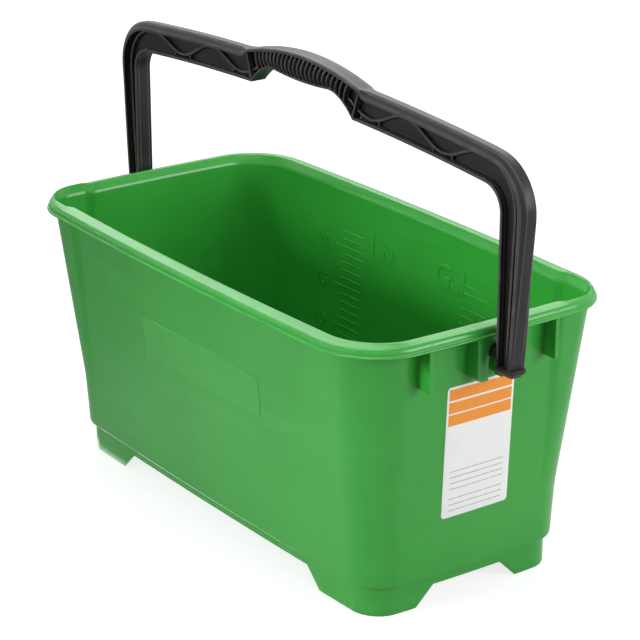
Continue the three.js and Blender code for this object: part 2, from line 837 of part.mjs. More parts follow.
// The plate at the foot of a leg, bevelled underneath.
function footPlate() {
  const half = (handleDepth + footExtraDepth) / 2;
  const ring = (inset, z) => {
    const inX = legInner - footOverhang + inset;
    const outX = legInner - footOverhang + footWidth - inset;
    const y = half - inset;
    return [[inX, -y], [outX, -y], [outX, y], [inX, y]].map((p) => new THREE.Vector3(p[0], p[1], z));
  };
  const bottom = footTop - footThickness;
  return loft([ring(footBevel, bottom), ring(0, bottom + footBevelHeight), ring(0, footTop)]);
}

// A round bar along X about the pivot.
function roundBar(diameter, from, to) {
  const geometry = new THREE.CylinderGeometry(diameter / 2, diameter / 2, to - from, roundSteps);
  return solidOf(geometry.rotateZ(Math.PI / 2).translate((from + to) / 2, 0, pivotHeight));
}

// The handle in one piece.
function handle() {
  const body = loft(bodyStations.map((at) => section(at).map(([u, v]) => place(at, u, v))));
  const sidePieces = [
    ribAlong(ribPath(), ribThickness, ribDepth),
    ...ticks(),
    endRib(),
    footPlate(),
    roundBar(pinDiameter, headBack + embed, legInner + embed),
    roundBar(headDiameter, headBack, headFront),
  ];
  const side = sidePieces.reduce((whole, piece) => whole.add(piece));
  return gripFins().reduce((whole, piece) => whole.add(piece), body.add(side).add(turned(side)));
}

// A named mesh of a solid.
function meshOf(name, solid, material) {
  const { vertProperties, triVerts, numProp } = solid.getMesh();
  const count = vertProperties.length / numProp;
  const positions = new Float32Array(count * 3);
  for (let i = 0; i < count; i++) {
    positions.set(vertProperties.subarray(i * numProp, i * numProp + 3), i * 3);
  }
  const geometry = new THREE.BufferGeometry();
  geometry.setAttribute("position", new THREE.BufferAttribute(positions, 3));
  geometry.setIndex(new THREE.BufferAttribute(new Uint32Array(triVerts), 1));
  geometry.computeVertexNormals();
  const mesh = new THREE.Mesh(geometry, material);
  mesh.name = name;
  return mesh;
}

const green = new THREE.MeshStandardMaterial({ color: 0x1e6b45, roughness: 0.35, metalness: 0 });
const black = new THREE.MeshStandardMaterial({ color: 0x242224, roughness: 0.45, metalness: 0 });
const paper = new THREE.MeshStandardMaterial({ color: 0xf2f1ec, roughness: 0.5, metalness: 0 });

const bucket = new THREE.Group();
bucket.add(meshOf("tub", tub(), green));
bucket.add(meshOf("handle", handle(), black));
bucket.add(meshOf("label", label(), paper));

export default bucket;
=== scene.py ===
"""Looks of a long rectangular bucket: its tub, label and bail handle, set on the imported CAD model."""

import logging
import math
from collections.abc import Callable
from dataclasses import dataclass, field
from enum import Enum

import bpy
import bmesh
import numpy as np
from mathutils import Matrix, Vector


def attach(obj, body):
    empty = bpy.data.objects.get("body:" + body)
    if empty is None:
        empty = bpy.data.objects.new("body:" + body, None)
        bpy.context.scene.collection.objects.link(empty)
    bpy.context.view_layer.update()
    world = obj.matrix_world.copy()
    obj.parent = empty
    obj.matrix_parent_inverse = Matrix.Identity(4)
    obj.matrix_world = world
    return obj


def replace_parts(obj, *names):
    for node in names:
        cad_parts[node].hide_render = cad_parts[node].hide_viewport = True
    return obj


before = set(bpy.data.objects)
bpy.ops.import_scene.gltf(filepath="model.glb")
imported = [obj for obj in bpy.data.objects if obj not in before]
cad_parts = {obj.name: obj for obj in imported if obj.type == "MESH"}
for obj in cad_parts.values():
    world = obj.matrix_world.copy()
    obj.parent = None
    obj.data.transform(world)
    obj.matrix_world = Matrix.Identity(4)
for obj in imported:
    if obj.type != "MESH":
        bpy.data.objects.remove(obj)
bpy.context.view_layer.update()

Pair = tuple[float, float]
Point = tuple[float, float, float]
Four = tuple[float, float, float, float]
Colour = Four

log = logging.getLogger("bucket")
MM = 0.001
TINY = 1e-6
CORNER_SHARE = 0.48
SHARP_DEGREES = 38.0
BLACK: Colour = (0.0, 0.0, 0.0, 1.0)
WHITE: Colour = (1.0, 1.0, 1.0, 1.0)
FLIP = np.array([-1.0, 1.0])


class Body(Enum):
    """The moving bodies that a piece can ride on."""

    TUB = "tub"
    HANDLE = "handle"


class Slot(Enum):
    """The record's material slots."""

    TUB = "tub"
    HANDLE = "handle"
    LABEL = "label"


class Wall(Enum):
    """The tub's walls, by the column of a ring that says how far out they stand."""

    END = 0
    SIDE = 1


def smooth_step(t: np.ndarray) -> np.ndarray:
    """A smooth rise from 0 to 1: three times the square less twice the cube of the clipped value."""
    t = np.clip(t, 0.0, 1.0)
    return t * t * (3.0 - 2.0 * t)


def soft_ramp(t: np.ndarray, width: float) -> np.ndarray:
    """Zero below, the value above, and (t + width) squared over 4 width across the corner between."""
    return np.where(np.abs(t) < width, (t + width) ** 2 / (4.0 * width), np.maximum(t, 0.0))


def spaced(stops: np.ndarray, counts: tuple[int, ...]) -> np.ndarray:
    """Values that run evenly from stop to stop.

    Args:
        stops: Where the runs start and end.
        counts: How many values each run has, with both its ends.

    Returns:
        The values, each stop once.
    """
    runs = [np.linspace(low, high, count)[:-1] for low, high, count in zip(stops, stops[1:], counts)]
    return np.append(np.concatenate(runs), stops[-1])


def curve(start: np.ndarray, corner: np.ndarray, end: np.ndarray, steps: int) -> np.ndarray:
    """A quadratic curve: (1-t)^2 of its start, 2t(1-t) of its corner and t^2 of its end, at each share t.

    Args:
        start: One point, or points shaped (..., 1, dimensions).
        corner: As many corners.
        end: As many ends.
        steps: Pieces of each curve.

    Returns:
        Points shaped (..., steps + 1, dimensions).
    """
    t = np.linspace(0.0, 1.0, steps + 1)[:, None]
    return (1 - t) ** 2 * start + 2 * t * (1 - t) * corner + t**2 * end


def round_corners(points: np.ndarray, radius: float | np.ndarray, steps: int) -> np.ndarray:
    """Rounds each corner of closed outlines with a curve from a radius before it to one after it.

    A round takes no more of a side at one end than the corner share.

    Args:
        points: Outline or outlines, shaped (..., corners, dimensions).
        radius: Setback from each corner, one number or one per corner.
        steps: Pieces of each round.

    Returns:
        The rounded outline, with steps + 1 points for each corner.
    """
    setback = np.broadcast_to(np.asarray(radius, float), points.shape[:-1])[..., None]
    ends = []
    for turn in (1, -1):
        way = np.roll(points, turn, axis=-2) - points
        length = np.linalg.norm(way, axis=-1, keepdims=True)
        ends.append(points + way / np.maximum(length, TINY) * np.minimum(setback, CORNER_SHARE * length))
    rounds = curve(ends[0][..., None, :], points[..., None, :], ends[1][..., None, :], steps)
    return rounds.reshape(*points.shape[:-2], -1, points.shape[-1])


def rounded_rectangle(width: float, height: float, radius: float, steps: tuple[int, int]) -> np.ndarray:
    """An outline of a rectangle with circular corners, anticlockwise about its middle.

    Args:
        width: Size along the first axis.
        height: Size along the second axis.
        radius: Corner radius.
        steps: Pieces of each corner and of each side.

    Returns:
        Points shaped (count, 2).
    """
    corners = []
    for quarter, signs in enumerate(((1, 1), (-1, 1), (-1, -1), (1, -1))):
        angle = np.linspace(0.0, math.pi / 2, steps[0] + 1) + quarter * math.pi / 2
        middle = np.array([width / 2 - radius, height / 2 - radius]) * signs
        corners.append(middle + radius * np.stack([np.cos(angle), np.sin(angle)], axis=1))
    pieces = []
    for here, there in zip(corners, corners[1:] + corners[:1]):
        share = np.linspace(0.0, 1.0, steps[1] + 1)[1:-1, None]
        pieces += [here, here[-1] * (1 - share) + there[0] * share]
    return np.concatenate(pieces)


@dataclass
class Skin:
    """Rows of points that become one closed mesh, or several in one object, in millimetres."""

    points: list[np.ndarray] = field(default_factory=list)
    quads: list[np.ndarray] = field(default_factory=list)
    triangles: list[np.ndarray] = field(default_factory=list)
    count: int = 0

    def add_tube(self, rings: np.ndarray) -> "Skin":
        """Adds a closed tube: quads between neighbouring rings and a fan of triangles over each end.

        Its faces are turned over where the volume that they enclose comes out negative.

        Args:
            rings: Points shaped (rings, points in a ring, 3).

        Returns:
            This skin.
        """
        rows, columns = rings.shape[:2]
        at = np.arange(rows * columns).reshape(rows, columns)
        beside = np.roll(at, -1, axis=1)
        quads = np.stack([at[:-1], beside[:-1], beside[1:], at[1:]], axis=-1).reshape(-1, 4)
        points = np.concatenate([rings.reshape(-1, 3), rings[:1].mean(axis=1), rings[-1:].mean(axis=1)])
        first, last = np.full(columns, rows * columns), np.full(columns, rows * columns + 1)
        low = np.stack([first, beside[0], at[0]], axis=-1)
        high = np.stack([last, at[-1], beside[-1]], axis=-1)
        triangles = np.concatenate([low, high])
        corners = points[np.concatenate([quads[:, [0, 1, 2]], quads[:, [0, 2, 3]], triangles])]
        volume = np.einsum("ij,ij->i", corners[:, 0], np.cross(corners[:, 1], corners[:, 2])).sum()
        if volume < 0:
            quads, triangles = quads[:, ::-1], triangles[:, ::-1]
        self.quads.append(quads + self.count)
        self.triangles.append(triangles + self.count)
        self.points.append(points)
        self.count += len(points)
        return self

    def add_triangles(self, corners: np.ndarray) -> "Skin":
        """Adds loose triangles.

        Args:
            corners: Their corners, shaped (triangles, 3, 3).

        Returns:
            This skin.
        """
        self.triangles.append(np.arange(len(corners) * 3).reshape(-1, 3) + self.count)
        self.points.append(corners.reshape(-1, 3))
        self.count += len(corners) * 3
        return self

    def mirrored(self) -> "Skin":
        """The skin with a copy of it that is turned half round about the upright axis.

        Returns:
            A skin with both.
        """
        turn = np.array([-1.0, -1.0, 1.0])
        points = self.points + [p * turn for p in self.points]
        quads = self.quads + [q + self.count for q in self.quads]
        triangles = self.triangles + [t + self.count for t in self.triangles]
        return Skin(points, quads, triangles, 2 * self.count)

    def mesh(self, name: str, sharp_degrees: float = SHARP_DEGREES) -> bpy.types.Mesh:
        """Writes the skin to a mesh in metres, shaded smooth but for its sharp edges.

        Args:
            name: The mesh's name.
            sharp_degrees: Edges that turn more than this stay sharp.

        Returns:
            The mesh.
        """
        points = np.concatenate(self.points) * MM
        quads = np.concatenate(self.quads)
        triangles = np.concatenate(self.triangles)
        made = bpy.data.meshes.new(name)
        made.vertices.add(len(points))
        made.vertices.foreach_set("co", points.astype(np.float32).ravel())
        made.loops.add(quads.size + triangles.size)
        loops = np.concatenate([quads.ravel(), triangles.ravel()])
        made.loops.foreach_set("vertex_index", loops.astype(np.int32))
        starts = np.concatenate([np.arange(len(quads)) * 4, quads.size + np.arange(len(triangles)) * 3])
        made.polygons.add(len(starts))
        made.polygons.foreach_set("loop_start", starts.astype(np.int32))
        made.polygons.foreach_set("use_smooth", np.ones(len(starts), bool))
        made.update(calc_edges=True)
        made.validate()
        made.set_sharp_from_angle(angle=math.radians(sharp_degrees))
        return made


def link(name: str, data: bpy.types.ID) -> bpy.types.Object:
    """Makes an object at the origin of the scene.

    Args:
        name: Its name.
        data: Its mesh, text, lamp or camera.

    Returns:
        The object.
    """
    made = bpy.data.objects.new(name, data)
    bpy.context.scene.collection.objects.link(made)
    return made


def place(mesh: bpy.types.Mesh, body: Body, slot: Slot, material: bpy.types.Material) -> bpy.types.Object:
    """Makes a piece of a mesh: gives it its material and sets it on its body.

    Args:
        mesh: The piece's mesh, in place.
        body: The body that the piece rides on.
        slot: The record's material slot; not used.
        material: The finish.

    Returns:
        The object.
    """
    piece = link(mesh.name, mesh)
    mesh.materials.append(material)
    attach(piece, body.value)
    log.info("%s: %d faces on %s", piece.name, len(mesh.polygons), body.value)
    return piece


class Wire:
    """One output of a shader node, which takes part in sums."""

    def __init__(self, bench: "Bench", node: bpy.types.Node, key: int | str) -> None:
        """Keeps what the wire needs.

        Args:
            bench: The bench that adds the nodes.
            node: The node.
            key: Which of its outputs this is.
        """
        self.bench = bench
        self.node = node
        self.key = key

    def output(self, key: int | str) -> "Wire":
        """Another output of the same node."""
        return Wire(self.bench, self.node, key)

    def math(self, operation: str, *values: object) -> "Wire":
        """A Math node on one or two values."""
        return self.bench.node("ShaderNodeMath", {"operation": operation}, dict(enumerate(values)))

    def __add__(self, other: object) -> "Wire":
        """This value plus another."""
        return self.math("ADD", self, other)

    __radd__ = __add__

    def __sub__(self, other: object) -> "Wire":
        """This value less another."""
        return self.math("SUBTRACT", self, other)

    def __rsub__(self, other: object) -> "Wire":
        """Another value less this one."""
        return self.math("SUBTRACT", other, self)

    def __mul__(self, other: object) -> "Wire":
        """This value times another."""
        return self.math("MULTIPLY", self, other)

    def __truediv__(self, other: object) -> "Wire":
        """This value over another."""
        return self.math("DIVIDE", self, other)

    def __abs__(self) -> "Wire":
        """The value without its sign."""
        return self.math("ABSOLUTE", self)

    def least(self, other: object) -> "Wire":
        """The smaller of this value and another."""
        return self.math("MINIMUM", self, other)

    def most(self, other: object) -> "Wire":
        """The greater of this value and another."""
        return self.math("MAXIMUM", self, other)

    def rise(self, start: float, end: float) -> "Wire":
        """A smooth rise from 0 to 1 between two values.

        Args:
            start: Where the rise begins.
            end: Where it ends; lower than the start for a fall.

        Returns:
            The eased share.
        """
        if start > end:
            return 1.0 - self.rise(end, start)
        inputs = {"Value": self, "From Min": start, "From Max": end}
        return self.bench.node("ShaderNodeMapRange", {"interpolation_type": "SMOOTHSTEP"}, inputs)


@dataclass(frozen=True)
class Noise:
    """Soft noise about one half: waves per metre, layers of finer noise, and their strength.

    With a stretch, the waves per metre differ along the axes and multiply the scale.
    """

    scale: float
    detail: float
    rough: float
    stretch: Point | None = None


class Bench:
    """Builds the nodes of one material, or of the world."""

    def __init__(self, owner: bpy.types.Material | bpy.types.World) -> None:
        """Starts with an empty node tree.

        Args:
            owner: The material or world that the nodes belong to.
        """
        self.owner = owner
        owner.use_nodes = True
        self.tree = owner.node_tree
        self.tree.nodes.clear()

    def node(
        self, kind: str, settings: dict | None = None, inputs: dict | None = None, out: int | str = 0
    ) -> Wire:
        """Adds a node.

        Args:
            kind: The node's type.
            settings: Its properties, set first.
            inputs: Values, colours or wires for its sockets, by name or number.
            out: The output that the result stands for.

        Returns:
            The output as a wire.
        """
        made = self.tree.nodes.new(kind)
        for key, value in (settings or {}).items():
            setattr(made, key, value)
        for key, value in (inputs or {}).items():
            if isinstance(value, Wire):
                self.tree.links.new(value.node.outputs[value.key], made.inputs[key])
            else:
                made.inputs[key].default_value = value
        return Wire(self, made, out)

    def place(self) -> Wire:
        """The point on the piece in metres."""
        return self.node("ShaderNodeTexCoord", out="Object")

    def axes(self, place: Wire) -> tuple[Wire, Wire, Wire]:
        """The three parts of a point."""
        first = self.node("ShaderNodeSeparateXYZ", inputs={0: place})
        return first, first.output(1), first.output(2)

    def noise(self, place: Wire, noise: Noise) -> Wire:
        """A layer of noise.

        Args:
            place: Where it is read.
            noise: Its settings.

        Returns:
            The noise value.
        """
        if noise.stretch:
            place = self.node("ShaderNodeMapping", inputs={"Vector": place, "Scale": noise.stretch})
        inputs = {"Vector": place, "Scale": noise.scale, "Detail": noise.detail, "Roughness": noise.rough}
        return self.node("ShaderNodeTexNoise", inputs=inputs)

    def blend(self, share: object, first: object, second: object) -> Wire:
        """A mix of two colours, with a share of the second."""
        inputs = {"Factor": share, 6: first, 7: second}
        return self.node("ShaderNodeMix", {"data_type": "RGBA"}, inputs, out=2)

    def bump(self, height: Wire, depth: float, strength: float = 1.0, under: Wire | None = None) -> Wire:
        """A normal pushed about by a height.

        Args:
            height: The height, from 0 to 1.
            depth: What a height of 1 stands for, in metres.
            strength: Share of the effect.
            under: A normal to start from.

        Returns:
            The normal.
        """
        inputs = {"Height": height, "Distance": depth, "Strength": strength}
        if under is not None:
            inputs["Normal"] = under
        return self.node("ShaderNodeBump", inputs=inputs)

    def finish(self, colour: Wire, rough: Wire, normal: Wire, refraction: float) -> bpy.types.Material:
        """Ends the material in a Principled shader.

        Args:
            colour: Base colour.
            rough: Roughness.
            normal: Bumped normal.
            refraction: Index of refraction.

        Returns:
            The material.
        """
        inputs = {"Base Color": colour, "Roughness": rough, "Normal": normal, "IOR": refraction}
        shader = self.node("ShaderNodeBsdfPrincipled", inputs=inputs)
        self.node("ShaderNodeOutputMaterial", inputs={"Surface": shader})
        return self.owner


@dataclass(frozen=True)
class GreenPlastic:
    """Glossy green moulded polypropylene; its lengths are in metres, as in the other finishes."""

    name: str = "green_polypropylene"
    deep: Colour = (0.032, 0.325, 0.037, 1.0)
    plain: Colour = (0.038, 0.352, 0.043, 1.0)
    pale: Colour = (0.052, 0.375, 0.056, 1.0)
    scuff: Colour = (0.20, 0.46, 0.21, 1.0)
    roughness: float = 0.22
    refraction: float = 1.49
    drift: Noise = Noise(9.0, 3.0, 0.55)
    flow: Noise = Noise(1.0, 4.0, 0.6, (6.0, 6.0, 38.0))
    flow_share: float = 0.25
    plain_range: Pair = (0.30, 0.62)
    pale_range: Pair = (0.52, 0.78)
    pale_share: float = 0.45
    scratch: Noise = Noise(1.0, 5.0, 0.7, (60.0, 60.0, 900.0))
    scratch_range: Pair = (0.62, 0.72)
    scratch_share: float = 0.22
    chip: Noise = Noise(260.0, 4.0, 0.7)
    chip_range: Pair = (0.50, 0.68)
    chip_share: float = 0.16
    worn_height: Pair = (0.030, 0.0)
    worn_most: float = 0.8
    worn_rough: float = 0.25
    smudge: Noise = Noise(26.0, 3.0, 0.6)
    smudge_rough: float = 0.10
    speck: Noise = Noise(900.0, 2.0, 0.6)
    speck_rough: float = 0.03
    wave: Noise = Noise(1.0, 1.0, 0.4, (7.0, 7.0, 13.0))
    wave_depth: float = 0.0016
    grain: Noise = Noise(95.0, 1.0, 0.4)
    grain_depth: float = 0.00003
    grain_share: float = 0.5

    def material(self) -> bpy.types.Material:
        """Builds the finish: colour drifts slowly over the walls, and scuffs gather on the feet.

        The surface has a faint grain over a slow wave.

        Returns:
            The material.
        """
        bench = Bench(bpy.data.materials.new(self.name))
        place = bench.place()
        _, _, height = bench.axes(place)
        drift = bench.noise(place, self.drift)
        flow = bench.noise(place, self.flow)
        speck = bench.noise(place, self.speck)
        cloud = drift * (1 - self.flow_share) + flow * self.flow_share
        colour = bench.blend(cloud.rise(*self.plain_range), self.deep, self.plain)
        colour = bench.blend(flow.rise(*self.pale_range) * self.pale_share, colour, self.pale)
        scratch = bench.noise(place, self.scratch).rise(*self.scratch_range)
        low = height.rise(*self.worn_height)
        chip = low * bench.noise(place, self.chip).rise(*self.chip_range)
        worn = (chip * self.chip_share + scratch * low * self.scratch_share).least(self.worn_most)
        colour = bench.blend(worn, colour, self.scuff)
        rough = self.roughness + (bench.noise(place, self.smudge) - 0.5) * self.smudge_rough
        rough = rough + speck * self.speck_rough + worn * self.worn_rough
        wave = bench.bump(bench.noise(place, self.wave), self.wave_depth)
        grain = bench.bump(bench.noise(place, self.grain), self.grain_depth, self.grain_share, wave)
        return bench.finish(colour, rough, grain, self.refraction)


ETCHED_GREEN = GreenPlastic(
    name="green_etched",
    deep=(0.052, 0.350, 0.058, 1.0),
    plain=(0.058, 0.368, 0.064, 1.0),
    pale=(0.066, 0.385, 0.072, 1.0),
    roughness=0.42,
)


@dataclass(frozen=True)
class BlackPlastic:
    """Satin near-black moulded polypropylene."""

    name: str = "black_polypropylene"
    plain: Colour = (0.0205, 0.0176, 0.0185, 1.0)
    warm: Colour = (0.0270, 0.0232, 0.0243, 1.0)
    # paler edge colour: partly rubbed wear, partly a painted highlight for light catching the handle's edges
    rubbed: Colour = (0.085, 0.076, 0.078, 1.0)
    dust: Colour = (0.060, 0.056, 0.055, 1.0)
    roughness: float = 0.38
    refraction: float = 1.33
    drift: Noise = Noise(22.0, 3.0, 0.6)
    warm_range: Pair = (0.35, 0.65)
    patch: Noise = Noise(75.0, 3.0, 0.6)
    patch_range: Pair = (0.25, 0.75)
    patch_share: float = 0.5
    rib_start: Pair = (0.0041, 0.0047)
    rib_end: Pair = (0.0058, 0.0053)
    rim_start: Pair = (0.0072, 0.0082)
    rubbed_height: Pair = (0.225, 0.262)
    speck: Noise = Noise(1400.0, 2.0, 0.7)
    speck_range: Pair = (0.66, 0.78)
    speck_share: float = 0.5
    speck_rough: float = 0.08
    smear: Noise = Noise(1.0, 4.0, 0.6, (30.0, 120.0, 30.0))
    smear_rough: float = 0.16
    ripple: Noise = Noise(160.0, 2.0, 0.5)
    ripple_depth: float = 0.00012
    ripple_share: float = 0.4
    pebble_scale: float = 1500.0
    pebble_softness: float = 0.6
    pebble_depth: float = 0.00005
    pebble_share: float = 0.35

    def material(self) -> bpy.types.Material:
        """Builds the finish: a slow drift of warmth, fine dust specks and a spark-eroded grain.

        What stands out across the handle, the ribs' edges and the bands' rims, is paler: partly rubbed wear,
        partly painted highlights where light catches those edges.

        Returns:
            The material.
        """
        bench = Bench(bpy.data.materials.new(self.name))
        place = bench.place()
        colour = bench.blend(bench.noise(place, self.drift).rise(*self.warm_range), self.plain, self.warm)
        _, depth, height = bench.axes(place)
        patch = bench.noise(place, self.patch).rise(*self.patch_range)
        patch = patch * self.patch_share + (1 - self.patch_share)
        aside = abs(depth)
        rib = aside.rise(*self.rib_start) * aside.rise(*self.rib_end)
        # painted highlights: the ribs' edges and the bands' rims turn paler above the feet, partly as rubbed
        # wear
        edge = rib.most(aside.rise(*self.rim_start)) * patch * height.rise(*self.rubbed_height)
        colour = bench.blend(edge, colour, self.rubbed)
        dust = bench.noise(place, self.speck).rise(*self.speck_range)
        colour = bench.blend(dust * self.speck_share, colour, self.dust)
        rough = self.roughness + (bench.noise(place, self.smear) - 0.5) * self.smear_rough
        rough = rough + dust * self.speck_rough
        inputs = {"Vector": place, "Scale": self.pebble_scale, "Smoothness": self.pebble_softness}
        pebble = bench.node("ShaderNodeTexVoronoi", {"feature": "SMOOTH_F1"}, inputs)
        ripple = bench.bump(bench.noise(place, self.ripple), self.ripple_depth, self.ripple_share)
        grain = bench.bump(pebble, self.pebble_depth, self.pebble_share, ripple)
        return bench.finish(colour, rough, grain, self.refraction)


@dataclass(frozen=True)
class LabelFilm:
    """White film with plain amber bands over an empty field and ruled lines below.

    Bands and rules stand at shares of the film's height. A profile says, from a stripe's low edge, where
    it starts to show and shows fully, and where it is gone and where it starts to go.
    """

    name: str = "label_film"
    middle: float = -0.0013
    half_width: float = 0.0367
    bottom: float = 0.084
    height: float = 0.125
    white: Colour = (0.94, 0.94, 0.93, 1.0)
    warm: Colour = (0.90, 0.895, 0.875, 1.0)
    amber: Colour = (0.93, 0.300, 0.010, 1.0)
    ink: Colour = (0.30, 0.31, 0.33, 1.0)
    refraction: float = 1.32
    roughness: float = 0.34
    bands: tuple[float, ...] = (0.898, 0.800, 0.706)
    band_profile: Four = (-0.0025, 0.0025, 0.0865, 0.0815)
    band_margin: Pair = (0.0019, 0.0024)
    band_share: float = 0.95
    rules: tuple[float, ...] = (0.050, 0.095, 0.140, 0.215, 0.260, 0.305, 0.350)
    rule_profile: Four = (-0.004, -0.001, 0.006, 0.003)
    rule_margin: Pair = (0.007, 0.0074)
    rule_share: float = 0.9
    rule_rough: float = 0.05
    cloud: Noise = Noise(60.0, 3.0, 0.6)
    print_grain: Noise = Noise(1.0, 2.0, 0.5, (1.0, 500.0, 1500.0))
    print_share: float = 0.1
    gap: Noise = Noise(1.0, 2.0, 0.6, (1.0, 900.0, 1800.0))
    gap_range: Pair = (0.36, 0.50)
    gloss: Noise = Noise(45.0, 3.0, 0.6)
    gloss_rough: float = 0.14
    fibre: Noise = Noise(420.0, 3.0, 0.6)
    fibre_depth: float = 0.00008
    fibre_share: float = 0.5

    @staticmethod
    def stripes(share: Wire, lows: tuple[float, ...], profile: Four) -> Wire:
        """Stripes across the film, with soft edges.

        Args:
            share: Share of the way up the film.
            lows: The stripes' low edges.
            profile: The profile of a stripe.

        Returns:
            One on a stripe and zero off it.
        """
        made: Wire | None = None
        for low in lows:
            start, full, gone, going = (low + step for step in profile)
            stripe = share.rise(start, full) * share.rise(gone, going)
            made = stripe if made is None else made.most(stripe)
        return made

    def material(self) -> bpy.types.Material:
        """Builds the print: bands and two groups of ruled lines, by height and width.

        Returns:
            The material.
        """
        bench = Bench(bpy.data.materials.new(self.name))
        place = bench.place()
        _, across, height = bench.axes(place)
        aside = abs(across - self.middle)
        share = (height - self.bottom) / self.height
        inside = aside.rise(*(self.half_width - margin for margin in self.band_margin))
        bands = self.stripes(share, self.bands, self.band_profile)
        colour = bench.blend(bench.noise(place, self.cloud), self.white, self.warm)
        grain = bench.noise(place, self.print_grain)
        printed = bands * inside * (self.band_share + (grain - 0.5) * self.print_share)
        colour = bench.blend(printed, colour, self.amber)
        lines = self.stripes(share, self.rules, self.rule_profile)
        reach = aside.rise(*(self.half_width - margin for margin in self.rule_margin))
        broken = bench.noise(place, self.gap).rise(*self.gap_range)
        colour = bench.blend(lines * reach * broken * self.rule_share, colour, self.ink)
        rough = self.roughness + bench.noise(place, self.gloss) * self.gloss_rough + lines * self.rule_rough
        fibre = bench.bump(bench.noise(place, self.fibre), self.fibre_depth, self.fibre_share)
        return bench.finish(colour, rough, fibre, self.refraction)


@dataclass
class Tub:
    """The moulded tub: its shell with four feet, the raised panel, the bearings and the end fins.

    Sizes are in millimetres. A ring of the shell is a row of nine numbers: half length, half width,
    height, plain radius, pouring radius, pouring bulge, side crown, end crown, and the height at a
    pouring corner's tip.
    """

    base_length: float = 500.0
    base_width: float = 226.6
    end_overhang: float = 28.0
    side_overhang: float = 36.3
    rim_height: float = 265.4
    wall: float = 2.6
    rim_crown_side: float = 7.0
    rim_crown_end: float = 3.0
    base_crown_side: float = 3.3
    base_crown_end: float = 3.1
    rim_radius: float = 48.0
    base_radius: float = 32.6
    flange_end: float = 13.0
    flange_side: float = 15.3
    flange_fall: float = 2.7
    flange_thickness: float = 2.6
    fold: float = 2.3
    lip_fold: float = 1.9
    fold_drop: float = 5.2
    shoulder: float = 3.7
    shoulder_drop: float = 2.4
    lip_depth: float = 10.4
    bead_flare: float = 1.6
    bead_height: float = 2.4
    flare_end: float = 6.2
    flare_side: float = 5.5
    flare_depth: float = 7.9
    under_inset: float = 1.0
    under_drop: float = 2.8
    lip_rounds: tuple[float, ...] = (2.6, 1.7, 1.6, 1.4, 0.5, 0.6, 0.35, 0.5, 1.0, 1.0, 0.8)
    round_steps: int = 6
    round_most: float = 0.49
    spout_bulge: float = 5.0
    channel_bulge: float = 1.7
    spout_edge_radius: float = 37.0
    spout_under_radius: float = 38.5
    spout_wall_radius: float = 26.0
    spout_lip_radius: float = 57.0
    spout_side: Pair = (58.0, 47.0)
    spout_end: Pair = (55.3, 43.3)
    spout_shares: Pair = (0.96, 0.985)
    spout_foot: float = 80.0
    spout_ease: float = 0.06
    wall_tip: float = 0.6
    under_tip: float = 1.7
    channel_tip: float = 1.4
    crease: float = 28.1
    crease_rounds: Pair = (4.6, 0.7)
    foot_round: float = 4.0
    skirt_inset: float = 5.7
    skirt_lean: float = 0.1
    skirt_draft: float = 0.2
    skirt_round: float = 0.55
    skirt_join: float = 6.0
    skirt_shares: Point = (0.3, 0.4, 0.6)
    floor_height: float = 27.2
    floor_thickness: float = 3.0
    floor_round: float = 9.0
    sharp_degrees: float = 34.0
    floor_margin: float = 12.0
    floor_shares: Four = (0.02, 0.25, 0.5, 0.75)
    levels: tuple[float, ...] = (60.0, 72.0, 78.0, 84.0, 92.0, 120.0, 160.0, 200.0, 235.0)
    low_level: float = 45.0
    arch_height: float = 18.2
    side_arch: Pair = (147.6, 166.6)
    side_arch_shift: Pair = (1.9, 2.1)
    side_run: float = 207.0
    side_counts: tuple[int, ...] = (17, 7, 6)
    end_arch: Pair = (37.9, 56.7)
    end_arch_shift: Pair = (1.2, 1.7)
    end_run: float = 77.5
    end_counts: tuple[int, ...] = (6, 7, 4)
    corner_counts: tuple[int, ...] = (10, 4, 27)
    side_from: float = 85.0
    end_from: float = 215.0
    panel_size: Pair = (193.0, 40.5)
    panel_middle: Pair = (4.0, 167.25)
    panel_corner: float = 4.5
    panel_least_corner: float = 2.0
    panel_relief: float = 0.75
    panel_root: float = 2.0
    panel_edge: tuple[Pair, ...] = (
        (-0.2, -1.2),
        (0.0, -0.1),
        (0.4, 0.4),
        (0.85, 0.8),
        (1.3, 0.97),
        (1.8, 1.0),
    )
    panel_shares: tuple[float, ...] = (0.85, 0.65, 0.4, 0.15, 0.02)
    panel_steps: tuple[int, int] = (8, 24)
    pivot_height: float = 240.0
    face_x: float = 275.0
    skin_reach: float = 0.5
    fin_y: float = 68.7
    fin_thickness: float = 3.8
    fin_drop: float = 23.5
    fin_top: float = 1.4
    fin_rounds: tuple[float, ...] = (0.2, 1.4, 0.2, 0.2, 0.2)
    fin_round_steps: int = 5
    fin_sides: tuple[Pair, ...] = (
        (-1.0, 0.5),
        (-0.86, 0.15),
        (-0.7, 0.0),
        (0.7, 0.0),
        (0.86, 0.15),
        (1.0, 0.5),
    )
    boss_width: float = 38.0
    boss_drop: float = 25.6
    boss_corner: float = 4.5
    boss_front: tuple[Pair, ...] = ((1.1, 0.0), (0.35, 0.25), (0.0, 0.95))
    boss_counts: tuple[int, ...] = (29, 33, 39, 17)
    seat_radius: float = 7.0
    room_radius: float = 10.5
    room_gap: float = 0.6
    room_length: float = 3.8
    room_overlap: float = 0.02
    room_margin: float = 0.05
    throat_swelling: float = 1.0
    throat_drop: float = 4.6
    throat_reach: float = 2.6
    litre: float = 1e6
    litre_steps: int = 300

    @property
    def edge_x(self) -> float:
        """Half the length of the opening's edge, where the flange starts."""
        return self.base_length / 2 + self.end_overhang - self.flange_end

    @property
    def edge_y(self) -> float:
        """Half the width of the opening's edge, where the flange starts."""
        return self.base_width / 2 + self.side_overhang - self.flange_side

    @property
    def flare_foot(self) -> float:
        """Height where the walls start to flare."""
        return self.rim_height - self.flare_depth

    @property
    def floor_top(self) -> float:
        """Height of the inner floor."""
        return self.floor_height + self.floor_thickness

